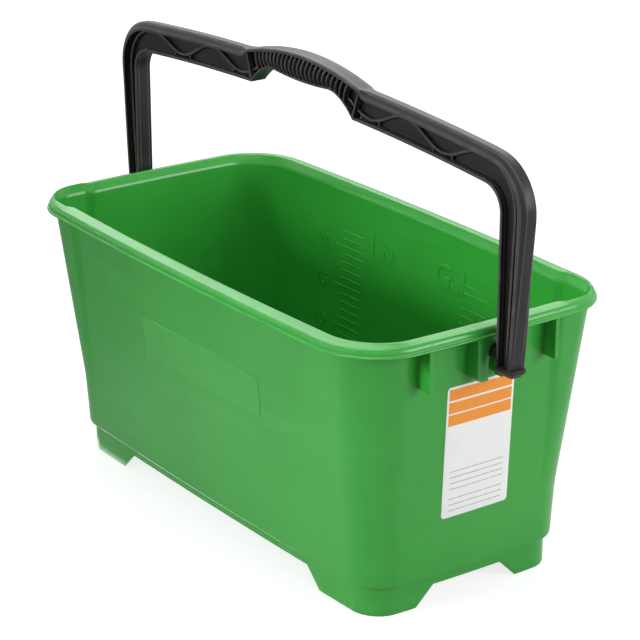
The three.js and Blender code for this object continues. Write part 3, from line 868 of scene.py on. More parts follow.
    def wall_rows(self, z: np.ndarray, offset: float) -> np.ndarray:
        """Rings of the outer wall at heights: every size runs straight from the foot to the flare.

        Args:
            z: Heights.
            offset: How far the rings move out from the outer wall.

        Returns:
            Rows of nine numbers.
        """
        z = np.atleast_1d(np.asarray(z, float))
        foot, top = self.crease + self.foot_round, self.flare_foot
        share = (z - foot) / (top - foot)
        spout = soft_ramp((z - self.spout_foot) / (top - self.spout_foot), self.spout_ease)
        held = (np.minimum(z, self.spout_foot) - foot) / (top - foot)
        top_radius = self.rim_radius - self.flare_end + self.wall
        foot_radius = self.base_radius + (top_radius - self.base_radius) * held

        def run(low: float, high: float) -> np.ndarray:
            """A size that runs straight from the foot to the flare."""
            return low + (high - low) * share

        columns = [
            run(self.base_length / 2, self.edge_x - self.flare_end + self.wall) + offset,
            run(self.base_width / 2, self.edge_y - self.flare_side + self.wall) + offset,
            z,
            run(self.base_radius, top_radius) + offset,
            foot_radius + (self.spout_wall_radius - foot_radius) * np.clip(spout, 0, 1) + offset,
            self.spout_bulge * spout,
            run(self.base_crown_side, self.rim_crown_side),
            run(self.base_crown_end, self.rim_crown_end),
            z,
        ]
        return np.stack(columns, axis=1)

    def foot_row(self, inset: float, z: float) -> np.ndarray:
        """A ring set in from the foot of the wall.

        Args:
            inset: How far in.
            z: Its height.

        Returns:
            A row of nine numbers.
        """
        row = self.wall_rows(self.crease + self.foot_round, -inset)[0]
        row[[2, 8]] = z
        return row

    def rim_row(
        self, insets: Pair, drop: float, bulge: float, spout: float, tip: float | None = None
    ) -> np.ndarray:
        """A ring of the rim, set in from the lip's outer edge.

        Args:
            insets: Insets at the ends and at the sides.
            drop: Distance below the rim.
            bulge: How far the pouring corners step out.
            spout: Radius of the pouring corners.
            tip: How far a pouring corner's tip stands above the lip's bottom, where it differs.

        Returns:
            A row of nine numbers.
        """
        end, side = insets
        z = self.rim_height - drop
        high = z if tip is None else self.rim_height - self.lip_depth + tip
        length, width = self.base_length / 2 + self.end_overhang, self.base_width / 2 + self.side_overhang
        size = (length - end, width - side, z, self.rim_radius + self.flange_end - end)
        return np.array([*size, spout, bulge, self.rim_crown_side, self.rim_crown_end, high])

    def lip_row(self, inset: float, drop: float, bulge: float = 0.0, tip: float | None = None) -> np.ndarray:
        """A ring of the lip: one of the rim's, set in alike all round, with the wide pouring corners."""
        return self.rim_row((inset, inset), drop, bulge, self.spout_lip_radius - inset, tip)

    def quarter(self, rows: np.ndarray, pouring: bool) -> np.ndarray:
        """One quarter of rings, from the middle of the long side round to the middle of the end.

        The side runs straight to the start of the fold, steps out along a smooth curve where the corner
        pours, turns through a circle, and steps back the same way.

        Args:
            rows: Rings, nine numbers each.
            pouring: Whether the corner is a pouring one.

        Returns:
            Points shaped (rings, points, 3).
        """
        a, b, z, plain, spout, bulge, _, _, tip = (rows[:, i : i + 1] for i in range(9))
        radius = spout if pouring else plain
        bulge = bulge if pouring else 0.0 * bulge
        tip = tip if pouring else z
        centre_x, centre_y = a + bulge - radius, b + bulge - radius
        side_from, side_full = (
            np.minimum(self.edge_x - back, centre_x * share)
            for back, share in zip(self.spout_side, self.spout_shares)
        )
        end_from, end_full = (
            np.minimum(self.edge_y - back, centre_y * share)
            for back, share in zip(self.spout_end, self.spout_shares)
        )
        side_stops = (np.array(self.side_arch) + self.side_arch_shift) / self.side_run
        end_stops = (np.array(self.end_arch) + self.end_arch_shift) / self.end_run
        along = spaced(np.array([0.0, *side_stops, 1.0]), self.side_counts)
        across = spaced(np.array([0.0, *end_stops, 1.0]), self.end_counts)[::-1]
        step, short, turn = (np.linspace(0, 1, count)[1:] for count in self.corner_counts)
        angle = (1.0 - turn) * math.pi / 2
        x = [
            side_from * along,
            side_from + (side_full - side_from) * step,
            side_full + (centre_x - side_full) * short,
            centre_x + radius * np.cos(angle),
            (a + bulge) * np.ones_like(short),
            a + bulge * smooth_step(1.0 - step),
            a * np.ones_like(across[1:]),
        ]
        y = [
            b * np.ones_like(along),
            b + bulge * smooth_step(step),
            (b + bulge) * np.ones_like(short),
            centre_y + radius * np.sin(angle),
            centre_y + (end_full - centre_y) * short,
            end_full + (end_from - end_full) * step,
            end_from * across[1:],
        ]
        before, after = len(along) + len(step) + len(short), len(short) + len(step) + len(across) - 1
        tipped = np.concatenate([np.zeros(before), np.sin(math.pi * turn), np.zeros(after)])
        x, y = np.concatenate(x, axis=1), np.concatenate(y, axis=1)
        return np.stack([x, y, z + (tip - z) * tipped], axis=-1)

    def rings(self, rows: np.ndarray) -> np.ndarray:
        """Whole closed rings, with sides that bow out between the corners.

        Each point moves in by the crown times the square of its share along the other axis.

        Args:
            rows: Rings, nine numbers each.

        Returns:
            Points shaped (rings, points, 3).
        """
        pouring, plain = self.quarter(rows, True), self.quarter(rows, False)
        quarters = []
        for side in (1.0, -1.0):
            quarters.append((pouring * [side, side, 1.0])[:, :-1])
            quarters.append((plain * [side, -side, 1.0])[:, :0:-1])
        points = np.concatenate(quarters, axis=1)
        along, across = points[..., 0] / rows[:, :1], points[..., 1] / rows[:, 1:2]
        x = points[..., 0] - np.sign(points[..., 0]) * rows[:, 7:8] * across**2 * np.abs(along)
        y = points[..., 1] - np.sign(points[..., 1]) * rows[:, 6:7] * along**2 * np.abs(across)
        return np.stack([x, y, points[..., 2]], axis=-1)

    def rounded(self, profile: list[tuple[np.ndarray, float]]) -> np.ndarray:
        """Rounds the corners of a profile of rings, as its half length and height show it.

        Args:
            profile: Rings, each with how far its round reaches, or 0 for a corner that stays sharp.

        Returns:
            More rings, nine numbers each.
        """
        rows = [row for row, _ in profile]
        made = [rows[0][None]]
        for before, (here, setback), after in zip(rows, profile[1:], rows[2:]):
            if setback <= 0:
                made.append(here[None])
                continue
            ends = []
            for way in (before - here, after - here):
                length = max(TINY, np.hypot(way[0], way[2]))
                ends.append(here + way * min(self.round_most, setback / length))
            made.append(curve(ends[0], here, ends[1], self.round_steps))
        return np.concatenate([*made, rows[-1][None]])

    def arch(self, points: np.ndarray) -> np.ndarray:
        """How high the skirt's lower edge stands at points: 0 at a foot, sloping up to the arch between.

        Args:
            points: Points shaped (..., 3).

        Returns:
            Heights shaped (...).
        """
        x, y = np.abs(points[..., 0]), np.abs(points[..., 1])
        side = (self.side_arch[1] - x) / (self.side_arch[1] - self.side_arch[0])
        end = (self.end_arch[1] - y) / (self.end_arch[1] - self.end_arch[0])
        share = np.where(y > self.side_from, side, np.where(x > self.end_from, end, 0.0))
        return self.arch_height * np.clip(share, 0.0, 1.0)

    def upper_rings(self) -> np.ndarray:
        """Rings from the inner floor up the inside, over the lip and down the outside to the skirt.

        Returns:
            Points shaped (rings, points, 3).
        """
        bead, bulge = self.bead_height, self.spout_bulge
        inner = self.wall_rows(np.array([self.floor_top, *self.levels, self.flare_foot]), -self.wall)
        floor = inner[0].copy()
        floor[[0, 1, 3, 4]] -= self.floor_margin
        outer_top = self.wall_rows(self.flare_foot, 0.0)[0]
        outer_top[8] = self.rim_height - self.lip_depth + self.wall_tip
        edge = (self.flange_end, self.flange_side)
        under = (self.flange_end - self.under_inset, self.flange_side - self.under_inset)
        inset, fall = self.fold + self.flange_thickness, self.flange_fall + self.flange_thickness
        lip = [
            inner[-1],
            self.rim_row(edge, 0.0, bulge, self.spout_edge_radius),
            self.lip_row(self.shoulder, self.shoulder_drop),
            self.lip_row(self.lip_fold, self.fold_drop),
            self.lip_row(self.bead_flare, self.lip_depth - bead),
            self.lip_row(0.0, self.lip_depth - 0.5 * bead),
            self.lip_row(0.0, self.lip_depth),
            self.lip_row(self.flange_thickness, self.lip_depth),
            self.lip_row(inset, fall, self.channel_bulge, self.channel_tip),
            self.rim_row(under, self.under_drop, bulge, self.spout_under_radius, self.under_tip),
            outer_top,
        ]
        profile = [
            (floor, 0.0),
            (inner[0], self.floor_round),
            *[(row, 0.0) for row in inner[1:-1]],
            *zip(lip, self.lip_rounds),
            *[(row, 0.0) for row in self.wall_rows(np.array([*self.levels[::-1], self.low_level]), 0.0)],
            (self.foot_row(0.0, self.crease), self.crease_rounds[0]),
            (self.foot_row(self.skirt_inset, self.crease), self.crease_rounds[1]),
            (self.foot_row(self.skirt_inset + self.skirt_lean, self.crease * self.skirt_shares[1]), 0.0),
        ]
        return self.rings(self.rounded(profile))[:-1]

    def skirt_rings(self) -> np.ndarray:
        """Rings round the skirt's lower edge, which follows the arches, and up its inside to the floor.

        Returns:
            Points shaped (rings, points, 3).
        """
        lift = self.arch(self.rings(self.foot_row(self.skirt_inset, self.crease)[None])[0])
        outer, soft = self.skirt_inset + self.skirt_draft, self.skirt_round
        inner, slight = outer + self.wall, self.skirt_shares[0] * soft
        below = []
        for inset, share, rise in (
            (outer, 0.0, self.skirt_join),
            (outer, 0.0, soft),
            (outer + slight, 0.0, slight),
            (outer + soft, 0.0, 0.0),
            (inner - soft, 0.0, 0.0),
            (inner - slight, 0.0, slight),
            (inner, 0.0, soft),
            (inner, self.skirt_shares[2], 0.0),
            (inner, 1.0, 0.0),
        ):
            ring = self.rings(self.foot_row(inset, 0.0)[None])[0]
            ring[:, 2] = (lift + rise) * (1 - share) + self.floor_height * share
            below.append(ring)
        floor = self.rings(self.foot_row(inner + self.skirt_join, self.floor_height)[None])
        return np.concatenate([np.array(below), floor])

    def shell(self, material: bpy.types.Material) -> bpy.types.Object:
        """The shell in one closed surface, from the floor's middle over the rim to its underside.

        Args:
            material: The finish.

        Returns:
            The piece.
        """
        whole = np.concatenate([self.upper_rings(), self.skirt_rings()])
        by = np.array(self.floor_shares)[:, None, None]
        shrink = np.concatenate([by, by, np.ones_like(by)], axis=2)
        skin = Skin().add_tube(np.concatenate([whole[0] * shrink, whole, whole[-1] * shrink[::-1]]))
        piece = place(skin.mesh("tub_shell", self.sharp_degrees), Body.TUB, Slot.TUB, material)
        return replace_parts(piece, "tub")

    def wall_at(self, wall: Wall, along: np.ndarray, z: np.ndarray, offset: float) -> np.ndarray:
        """Distance of a wall from the middle plane at points.

        Args:
            wall: Which wall.
            along: Places along it.
            z: Heights.
            offset: How far out from the outer wall.

        Returns:
            Distances, positive.
        """
        rows = self.wall_rows(np.ravel(z), offset)
        half, other, crown = rows[:, wall.value], rows[:, 1 - wall.value], rows[:, 7 - wall.value]
        return (half - crown * (np.ravel(along) / other) ** 2).reshape(np.shape(z))

    def panel(self, material: bpy.types.Material) -> bpy.types.Object:
        """The raised panel in the front wall: a rounded outline that follows the wall, with drafted edges.

        Shrunken copies of the outline stand at heights that rise from inside the wall to the relief.

        Args:
            material: The finish.

        Returns:
            The piece.
        """
        width, height = self.panel_size
        rings = []

        def stand(outline: np.ndarray, share: float) -> None:
            """Adds an outline at a share of the relief."""
            x, z = (outline + self.panel_middle).T
            rings.append(np.stack([x, -self.wall_at(Wall.SIDE, x, z, self.panel_relief * share), z], axis=1))

        for inset, share in self.panel_edge:
            radius = self.panel_corner - min(inset, self.panel_corner - self.panel_least_corner)
            outline = rounded_rectangle(width - 2 * inset, height - 2 * inset, radius, self.panel_steps)
            stand(outline, share)
        for by in self.panel_shares:
            stand(outline * by, self.panel_edge[-1][1])
        rings.append(rings[-1] + [0.0, self.panel_root, 0.0])
        skin = Skin().add_tube(np.array(rings))
        return place(skin.mesh("tub_front_panel"), Body.TUB, Slot.TUB, material)

    def end_skin(self, y: np.ndarray, z: np.ndarray) -> np.ndarray:
        """Middle of the end wall's thickness, and above the wall of the flare's, at points.

        Args:
            y: Places across the width.
            z: Heights.

        Returns:
            Distances along the length.
        """
        y, z = np.broadcast_arrays(np.asarray(y, float), np.asarray(z, float))
        edge = self.edge_x + self.skin_reach - self.rim_crown_end * (y / self.edge_y) ** 2
        top = self.rim_height - self.flange_thickness / 2
        share = np.clip((z - self.flare_foot) / (top - self.flare_foot), 0.0, 1.0)
        wall = self.wall_at(Wall.END, y, np.minimum(z, self.flare_foot), -self.wall / 2)
        return wall + (edge - wall) * share

    def under_flange(self, x: np.ndarray) -> np.ndarray:
        """Height of the middle of the end flange's thickness.

        Args:
            x: Distances along the length.

        Returns:
            Heights.
        """
        slope = self.flange_fall / (self.flange_end - self.fold)
        beyond = np.maximum(np.asarray(x, float) - self.edge_x, 0.0)
        return self.rim_height - self.flange_thickness / 2 - slope * beyond

    def band(
        self, outer: np.ndarray, inner: np.ndarray, levels: list[tuple[float | None, float]]
    ) -> np.ndarray:
        """A band between two open outlines in the plane across the length, pushed along it.

        It ends under the flange, and where a level has no distance of its own it ends in the wall.

        Args:
            outer: Points (count, 2) of the outer outline, Y and Z.
            inner: As many points of the inner outline.
            levels: (distance along X, distance that both outlines close in by) from back to front.

        Returns:
            Rings shaped (count, 2 * levels, 3), one across the band at each point.
        """
        middle, half = (outer + inner) / 2, (outer - inner) / 2
        width = np.maximum(np.linalg.norm(half, axis=1, keepdims=True), TINY)

        def side(sign: float, x: float | None, inset: float) -> np.ndarray:
            """One long edge of the band.

            Args:
                sign: 1 for the outer edge, -1 for the inner.
                x: Its distance along the length, or None for the wall's.
                inset: How far it closes in.

            Returns:
                Points shaped (count, 3).
            """
            y, z = (middle + sign * half * (1 - inset / width)).T
            wall = np.minimum(self.end_skin(y, z), levels[1][0] - self.room_margin)
            depth = wall if x is None else np.full(len(y), x)
            return np.column_stack([depth, y, np.minimum(z, self.under_flange(depth))])

        ahead = [side(1.0, *level) for level in levels]
        back = [side(-1.0, *level) for level in levels[::-1]]
        return np.stack([*ahead, *back], axis=1)

    def bearings(self, material: bpy.types.Material) -> bpy.types.Object:
        """The blocks that hold the handle's pins: a slot open below with a round seat, wider behind.

        Two low swellings of the slot's sides keep a pin in its seat.

        Args:
            material: The finish.

        Returns:
            The piece.
        """
        half, pivot, corner = self.boss_width / 2, self.pivot_height, self.boss_corner
        bottom = pivot - self.boss_drop
        gate = float(self.wall_rows(pivot + self.room_radius, self.room_gap)[0, 0]) + self.room_length
        seats, slots, sides, tops = self.boss_counts

        def outlines(radius: float, swelling: float) -> tuple[np.ndarray, np.ndarray]:
            """The outer and inner outlines of the block as open rows of as many points.

            Args:
                radius: The seat's radius, and half the slot's width.
                swelling: How far the slot's sides swell below the seat.

            Returns:
                The outer and the inner outline, Y and Z.
            """
            t = np.linspace(0.0, math.pi, seats)
            seat = np.stack([radius * np.cos(t), pivot + radius * np.sin(t)], axis=1)
            z = np.linspace(bottom, pivot, slots)[:-1]
            near = np.clip(1.0 - ((z - pivot + self.throat_drop) / self.throat_reach) ** 2, 0.0, 1.0)
            right = np.stack([radius - swelling * near, z], axis=1)
            reach = np.linspace(0.0, 1.0, sides)[:-1, None]
            side = np.array([half, bottom]) * (1 - reach) + np.array([half, self.rim_height]) * reach
            side[:, 0] -= corner * (1 - np.sqrt(1 - np.clip(1 - (side[:, 1] - bottom) / corner, 0, 1) ** 2))
            over = np.stack([np.linspace(half, -half, tops), np.full(tops, self.rim_height)], axis=1)
            outer = np.concatenate([side, over, (side * FLIP)[::-1]])
            return outer, np.concatenate([right, seat, (right * FLIP)[::-1]])

        front = [(gate, 0.0), *[(self.face_x - back, inset) for back, inset in self.boss_front]]
        skin = Skin().add_tube(self.band(*outlines(self.seat_radius, self.throat_swelling), front))
        room = [(None, 0.0), (gate + self.room_overlap, 0.0)]
        skin.add_tube(self.band(*outlines(self.room_radius, 0.0), room))
        return place(skin.mirrored().mesh("tub_bearings"), Body.TUB, Slot.TUB, material)

    def fins(self, material: bpy.types.Material) -> bpy.types.Object:
        """Four upright fins under the rim of the ends, each a drafted plate with soft edges.

        Args:
            material: The finish.

        Returns:
            The piece.
        """
        skin = Skin()
        bottom, flange = self.pivot_height - self.fin_drop, float(self.under_flange(self.face_x))
        z = np.array([bottom, bottom, flange, self.rim_height - self.fin_top, self.flare_foot])
        x = self.end_skin(self.fin_y, z)
        x[1:3] = self.face_x
        soft = round_corners(np.stack([x, z], axis=1), np.array(self.fin_rounds), self.fin_round_steps)
        centre = soft.mean(axis=0)
        reach = np.linalg.norm(soft - centre, axis=1, keepdims=True)
        for y in (-self.fin_y, self.fin_y):
            rings = []
            for side, inset in self.fin_sides:
                drawn = centre + (soft - centre) * (1 - inset / reach)
                depth = np.full(len(soft), y + side * self.fin_thickness / 2)
                rings.append(np.stack([drawn[:, 0], depth, drawn[:, 1]], axis=1))
            skin.add_tube(np.array(rings))
        return place(skin.mirrored().mesh("tub_end_fins"), Body.TUB, Slot.TUB, material)

    def level_of(self, litres: float) -> float:
        """Height of the water's surface for a volume, summed from the tub's inner length and width.

        Args:
            litres: The volume.

        Returns:
            The height.
        """
        z = np.linspace(self.floor_top, self.rim_height, self.litre_steps)
        rows = self.wall_rows(z, -self.wall)
        area = 4 * rows[:, 0] * rows[:, 1] - (4 - math.pi) * rows[:, 3] ** 2
        held = np.concatenate([[0.0], np.cumsum((area[1:] + area[:-1]) / 2 * np.diff(z))]) / self.litre
        return float(np.interp(litres, held, z))

    def build(self, material: bpy.types.Material, etched: bpy.types.Material) -> None:
        """Builds every piece of the tub.

        Args:
            material: The finish.
            etched: The raised panel's finish.
        """
        self.shell(material)
        self.panel(etched)
        self.bearings(material)
        self.fins(material)


@dataclass
class VolumeScale:
    """Raised litre and gallon scales inside the tub's back wall: figures, units and ticks.

    A unit's word is its text, its size, where it starts along the length and how high it stands.
    """

    tub: Tub
    litre_word: tuple[str, float, float, float] = ("Ltr", 27.0, -70.0, 200.0)
    gallon_word: tuple[str, float, float, float] = ("Gal", 25.0, 33.0, 203.0)
    litre_ticks: Pair = (-112.0, -80.0)
    long_tick_from: float = -124.0
    litre_figures: float = -153.0
    litre_most: int = 22
    litre_step: int = 5
    gallon_ticks_from: float = 75.0
    gallon_reach: Four = (128.0, 95.0, 112.0, 95.0)
    gallon_figures: float = 58.0
    gallon_most: int = 4
    quarters: tuple[int, int] = (2, 23)
    litres_per_gallon: float = 3.785
    figure_size: float = 14.0
    letter_scale: float = 1.38
    letter_steps: tuple[int, int] = (1, 4)
    relief: float = 0.5
    bevel: float = 0.12
    thick: float = 1.25
    tick_points: int = 9
    merge: float = 1e-6

    def raised(self, text: str, size: float, left: float, bottom: float) -> np.ndarray:
        """Triangles of a raised word on the inside of the back wall.

        The flat letters stand up along the wall: their breadth runs along the length, their height up the
        wall, and their thickness out of it.

        Args:
            text: Figures or a unit.
            size: Height of the letters.
            left: Where the word starts along the length.
            bottom: Height of its foot.

        Returns:
            Corners shaped (triangles, 3, 3).
        """
        letters = bpy.data.curves.new("figures", "FONT")
        letters.body = text
        letters.size = size * self.letter_scale
        letters.extrude = self.relief
        letters.bevel_depth = self.bevel
        letters.bevel_resolution, letters.resolution_u = self.letter_steps
        holder = link("figures", letters)
        flat = holder.evaluated_get(bpy.context.evaluated_depsgraph_get()).to_mesh()
        flat.calc_loop_triangles()
        at = np.zeros(len(flat.vertices) * 3, np.float32)
        flat.vertices.foreach_get("co", at)
        corners = np.zeros(len(flat.loop_triangles) * 3, np.int32)
        flat.loop_triangles.foreach_get("vertices", corners)
        at = at.reshape(-1, 3).astype(float)
        x, z = left + at[:, 0], bottom + at[:, 1]
        y = self.tub.wall_at(Wall.SIDE, x, z, -self.tub.wall) - at[:, 2]
        bpy.data.objects.remove(holder)
        bpy.data.curves.remove(letters)
        return np.stack([x, y, z], axis=1)[corners.reshape(-1, 3)]

    def tick(self, left: float, right: float, z: float) -> np.ndarray:
        """A low rib with a round back along the wall: an ellipse about its line, half sunk.

        Args:
            left: Where it starts along the length.
            right: Where it ends.
            z: Its height on the wall.

        Returns:
            Rings shaped (places, points, 3).
        """
        angle = np.linspace(0.0, 2 * math.pi, self.tick_points)[:-1]
        x, angle = np.meshgrid(np.linspace(left, right, self.tick_points), angle, indexing="ij")
        height = z + self.thick / 2 * np.cos(angle)
        y = self.tub.wall_at(Wall.SIDE, x, height, -self.tub.wall) - self.relief * np.sin(angle)
        return np.stack([x, y, height], axis=-1)

    def build(self, material: bpy.types.Material) -> bpy.types.Object:
        """Builds both scales as one piece, with the letters' doubled points merged.

        Args:
            material: The finish.

        Returns:
            The piece.
        """
        skin = Skin()
        letters = [self.raised(*self.litre_word), self.raised(*self.gallon_word)]
        half = self.figure_size / 2
        for litre in range(1, self.litre_most + 1):
            z = self.tub.level_of(float(litre))
            whole = litre % self.litre_step == 0
            start = self.long_tick_from if whole else self.litre_ticks[0]
            skin.add_tube(self.tick(start, self.litre_ticks[1], z))
            if whole:
                letters.append(self.raised(str(litre), self.figure_size, self.litre_figures, z - half))
        for quarter in range(self.quarters[0], self.quarters[1] + 1):
            gallon, rest = divmod(quarter, 4)
            z = self.tub.level_of(self.litres_per_gallon * quarter / 4)
            skin.add_tube(self.tick(self.gallon_ticks_from, self.gallon_reach[rest], z))
            if rest == 0 and gallon <= self.gallon_most:
                letters.append(self.raised(str(gallon), self.figure_size, self.gallon_figures, z - half))
        mesh = skin.add_triangles(np.concatenate(letters)).mesh("tub_volume_scale")
        kit = bmesh.new()
        kit.from_mesh(mesh)
        bmesh.ops.remove_doubles(kit, verts=kit.verts, dist=self.merge)
        bmesh.ops.recalc_face_normals(kit, faces=kit.faces)
        kit.to_mesh(mesh)
        kit.free()
        mesh.set_sharp_from_angle(angle=math.radians(SHARP_DEGREES))
        return place(mesh, Body.TUB, Slot.TUB, material)


@dataclass
class Label:
    """The film label on the end wall; its edge is a row of insets and distances from the wall."""

    tub: Tub
    width: float = 73.4
    height: float = 125.0
    bottom: float = 84.0
    shift: float = 1.3
    radius: float = 3.5
    sharp_degrees: float = 50.0
    edge: tuple[Pair, ...] = ((0.18, 0.42), (0.05, 0.39), (0.0, 0.30), (0.0, 0.04))
    shares: tuple[float, ...] = (0.02, 0.3, 0.55, 0.8)
    steps: tuple[int, int] = (8, 12)

    def build(self, material: bpy.types.Material) -> bpy.types.Object:
        """A rounded sheet that follows the wall, with a soft outer edge.

        Args:
            material: The film.

        Returns:
            The piece.
        """
        edge = []
        for inset, lift in self.edge:
            size = (self.width - 2 * inset, self.height - 2 * inset, self.radius - inset)
            edge.append((rounded_rectangle(*size, self.steps), lift))
        front = [(edge[0][0] * by, edge[0][1]) for by in self.shares]
        back = [(edge[-1][0] * by, edge[-1][1]) for by in self.shares[::-1]]
        skin = Skin().add_tube(np.array([self.on_wall(*level) for level in (*front, *edge, *back)]))
        piece = place(skin.mesh("label_film", self.sharp_degrees), Body.TUB, Slot.LABEL, material)
        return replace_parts(piece, "label")

    def on_wall(self, outline: np.ndarray, lift: float) -> np.ndarray:
        """Points of a flat outline laid on the end wall at a distance from it."""
        y, z = outline[:, 0] - self.shift, outline[:, 1] + self.bottom + self.height / 2
        return np.stack([self.tub.wall_at(Wall.END, y, z, lift), y, z], axis=1)


@dataclass
class Handle:
    """The bail handle: a ribbed beam with a grip, two legs, foot plates and pins, in millimetres."""

    pivot: float = 240.0
    leg_inner: float = 285.0
    grip_rise: float = 200.0
    bar_rise: float = 159.2
    camber: float = 13.3
    bar_height: float = 29.8
    leg_top: float = 31.0
    leg_foot: float = 18.2
    leg_overlap: float = 1.0
    outermost: float = 316.04
    outer_radius: float = 48.0
    inner_radius: float = 22.0
    depth: float = 17.0
    band: float = 3.0
    web: float = 2.6
    edge_flat: float = 8.0
    edge_drop: float = 6.0
    section_rounds: tuple[float, ...] = (0.9, 0.6, 0.8, 0.8, 0.5, 0.5, 0.9, 1.3)
    section_round_steps: int = 4
    leg_flat: float = 11.0
    leg_drop_power: float = 1.5
    leg_least_drop: float = 0.35
    foot_drop: float = 8.5
    grip_drop: float = 0.9
    grip_band: float = 2.4
    grip_flat: float = 14.8
    grip_under: float = 3.2
    grip_blend: float = 9.0
    grip_top: float = 88.0
    grip_foot: float = 79.0
    lift: float = 18.7
    sag: float = 2.5
    lift_run: float = 36.5
    lift_start: float = 79.5
    station_counts: tuple[int, ...] = (14, 25, 31, 41)
    fin_count: int = 23
    fin_points: int = 13
    fin_span: Pair = (66.0, 72.0)
    fin_bulge: Pair = (4.4, 1.6)
    fin_sink: Pair = (1.2, 2.0)
    fin_thickness: float = 1.8
    fin_depth: float = 16.0
    rib_thickness: float = 2.6
    rib_soft: float = 0.6
    rib_round_steps: int = 3
    thin_soft: float = 0.5
    leg_rib_step: int = 4
    turn_points: int = 25
    wave_points: int = 91
    wave_depth: float = 10.0
    wave_height: float = 8.1
    wave_middle: float = 13.4
    wave_count: float = 1.814
    wave_steer: float = 0.6
    last_crest: float = 254.0
    wave_end: float = 69.0
    tick_depth: float = 9.0
    tick_spread: float = 13.0
    tick_sink: Pair = (1.5, 4.3)
    bends: int = 4
    tick_points: int = 4
    end_rib_points: int = 6
    plate_inner: float = 284.5
    plate_outer: float = 306.5
    plate_half_depth: float = 9.0
    plate_corners: Four = (1.5, 3.5, 3.5, 1.5)
    plate_round_steps: int = 6
    plate_levels: tuple[Pair, ...] = ((3.4, 15.5), (2.7, 15.4), (0.35, 12.0), (0.0, 11.3), (0.0, 8.9))
    plate_top_inset: float = 0.4
    pin_from: float = 261.7
    pin_points: int = 49
    pin_head: tuple[Pair, ...] = ((0.0, 8.9), (0.3, 9.7), (1.0, 10.0), (2.4, 10.0), (3.0, 9.8), (3.2, 9.2))
    pin_shaft: tuple[Pair, ...] = ((3.2, 7.3), (3.5, 6.7), (4.2, 6.5), (23.6, 6.5), (24.3, 7.0))

    def bar_low(self, x: np.ndarray) -> np.ndarray:
        """Height of the bar's lower edge: highest in the middle, falling with the distance's square."""
        return self.pivot + self.bar_rise - self.camber * (np.asarray(x, float) / self.leg_inner) ** 2

    def bar_high(self, x: np.ndarray) -> np.ndarray:
        """Height of the bar's upper edge."""
        return self.bar_low(x) + self.bar_height

    def grip_low(self, x: np.ndarray) -> np.ndarray:
        """Height of the grip's lower edge: lifted above the bar's, falling with a square at each end.

        Args:
            x: Places along the length.

        Returns:
            Heights.
        """
        crest = self.lift_start - self.lift_run
        fall = np.clip((np.abs(x) - crest) / self.lift_run, 0.0, 1.0)
        sag = np.clip(1.0 - (np.asarray(x, float) / crest) ** 2, 0.0, 1.0)
        return self.bar_low(x) + self.lift * (1 - fall**2) - self.sag * sag

    def grip_high(self, x: np.ndarray) -> np.ndarray:
        """Height of the grip's upper edge: a parabola from the crest down to the bar."""
        crest = self.pivot + self.grip_rise
        return crest - (crest - self.bar_high(self.grip_top)) * (np.asarray(x, float) / self.grip_top) ** 2

    def corner_arc(self, radius: float, edge_height: float, leg_x: float, leg_slope: float) -> np.ndarray:
        """The circle that turns from a face of the leg into the bar, at its slope.

        Args:
            radius: The circle's radius.
            edge_height: Height of the bar's edge at the leg.
            leg_x: Where the leg's face is there.
            leg_slope: How far the face leans in for each millimetre up.

        Returns:
            Points X and Z, shaped (points, 2).
        """
        slope = -2 * self.camber * (leg_x - radius) / self.leg_inner**2
        bar_angle, leg_angle = math.atan(slope), math.atan(leg_slope)
        reach = radius / math.tan((math.pi / 2 - bar_angle - leg_angle) / 2)
        x = leg_x - reach * math.cos(bar_angle) + radius * math.sin(bar_angle)
        z = edge_height - reach * math.sin(bar_angle) - radius * math.cos(bar_angle)
        share = np.linspace(0.0, 1.0, self.station_counts[1])
        angle = -leg_angle + (math.pi / 2 + bar_angle + leg_angle) * share
        return np.stack([x + radius * np.cos(angle), z + radius * np.sin(angle)], axis=1)

    def stations(self) -> tuple[np.ndarray, np.ndarray, np.ndarray, np.ndarray]:
        """Edges of the whole handle, from one foot over the grip to the other, and its outer band's form.

        The drop of the band's edges grows up a leg with a power of the share of the way.

        Returns:
            Two arrays of X and Z, shaped (stations, 2), and two of the drop and the flat width.
        """
        foot_top = self.pivot - self.foot_drop
        high = float(self.bar_high(self.leg_inner))
        slope = (self.leg_top - self.leg_foot) / (high - self.outer_radius - foot_top)
        outer_x = self.leg_inner + self.leg_foot + slope * (high - foot_top)
        outer_turn = self.corner_arc(self.outer_radius, float(self.bar_high(outer_x)), outer_x, slope)
        low = float(self.bar_low(self.leg_inner))
        inner_turn = self.corner_arc(self.inner_radius, low, self.leg_inner, 0.0)
        leg_count, turn_count, bar_count, grip_count = self.station_counts
        leg = np.linspace(0.0, 1.0, leg_count)[:-1, None]
        bar = np.linspace(0.0, 1.0, bar_count)[1:]
        grip = 1 - np.linspace(0.0, 1.0, grip_count)[1:]

        def edge(
            foot_x: float, turn: np.ndarray, end: float, heights: tuple[Callable, Callable]
        ) -> np.ndarray:
            """One edge of half the handle: up the leg, round the turn, along the bar and over the grip.

            Args:
                foot_x: Where the leg's face is at its foot.
                turn: Points of the turn.
                end: Where the grip starts along the length.
                heights: What gives the height of the bar's edge and of the grip's.

            Returns:
                Points X and Z, shaped (points, 2).
            """
            up = np.array([foot_x, foot_top - self.leg_overlap]) * (1 - leg) + turn[:1] * leg
            places = (turn[-1, 0] + (end - turn[-1, 0]) * bar, end * grip)
            over = [np.stack([x, height(x)], axis=1) for x, height in zip(places, heights)]
            return np.concatenate([up, turn, *over])

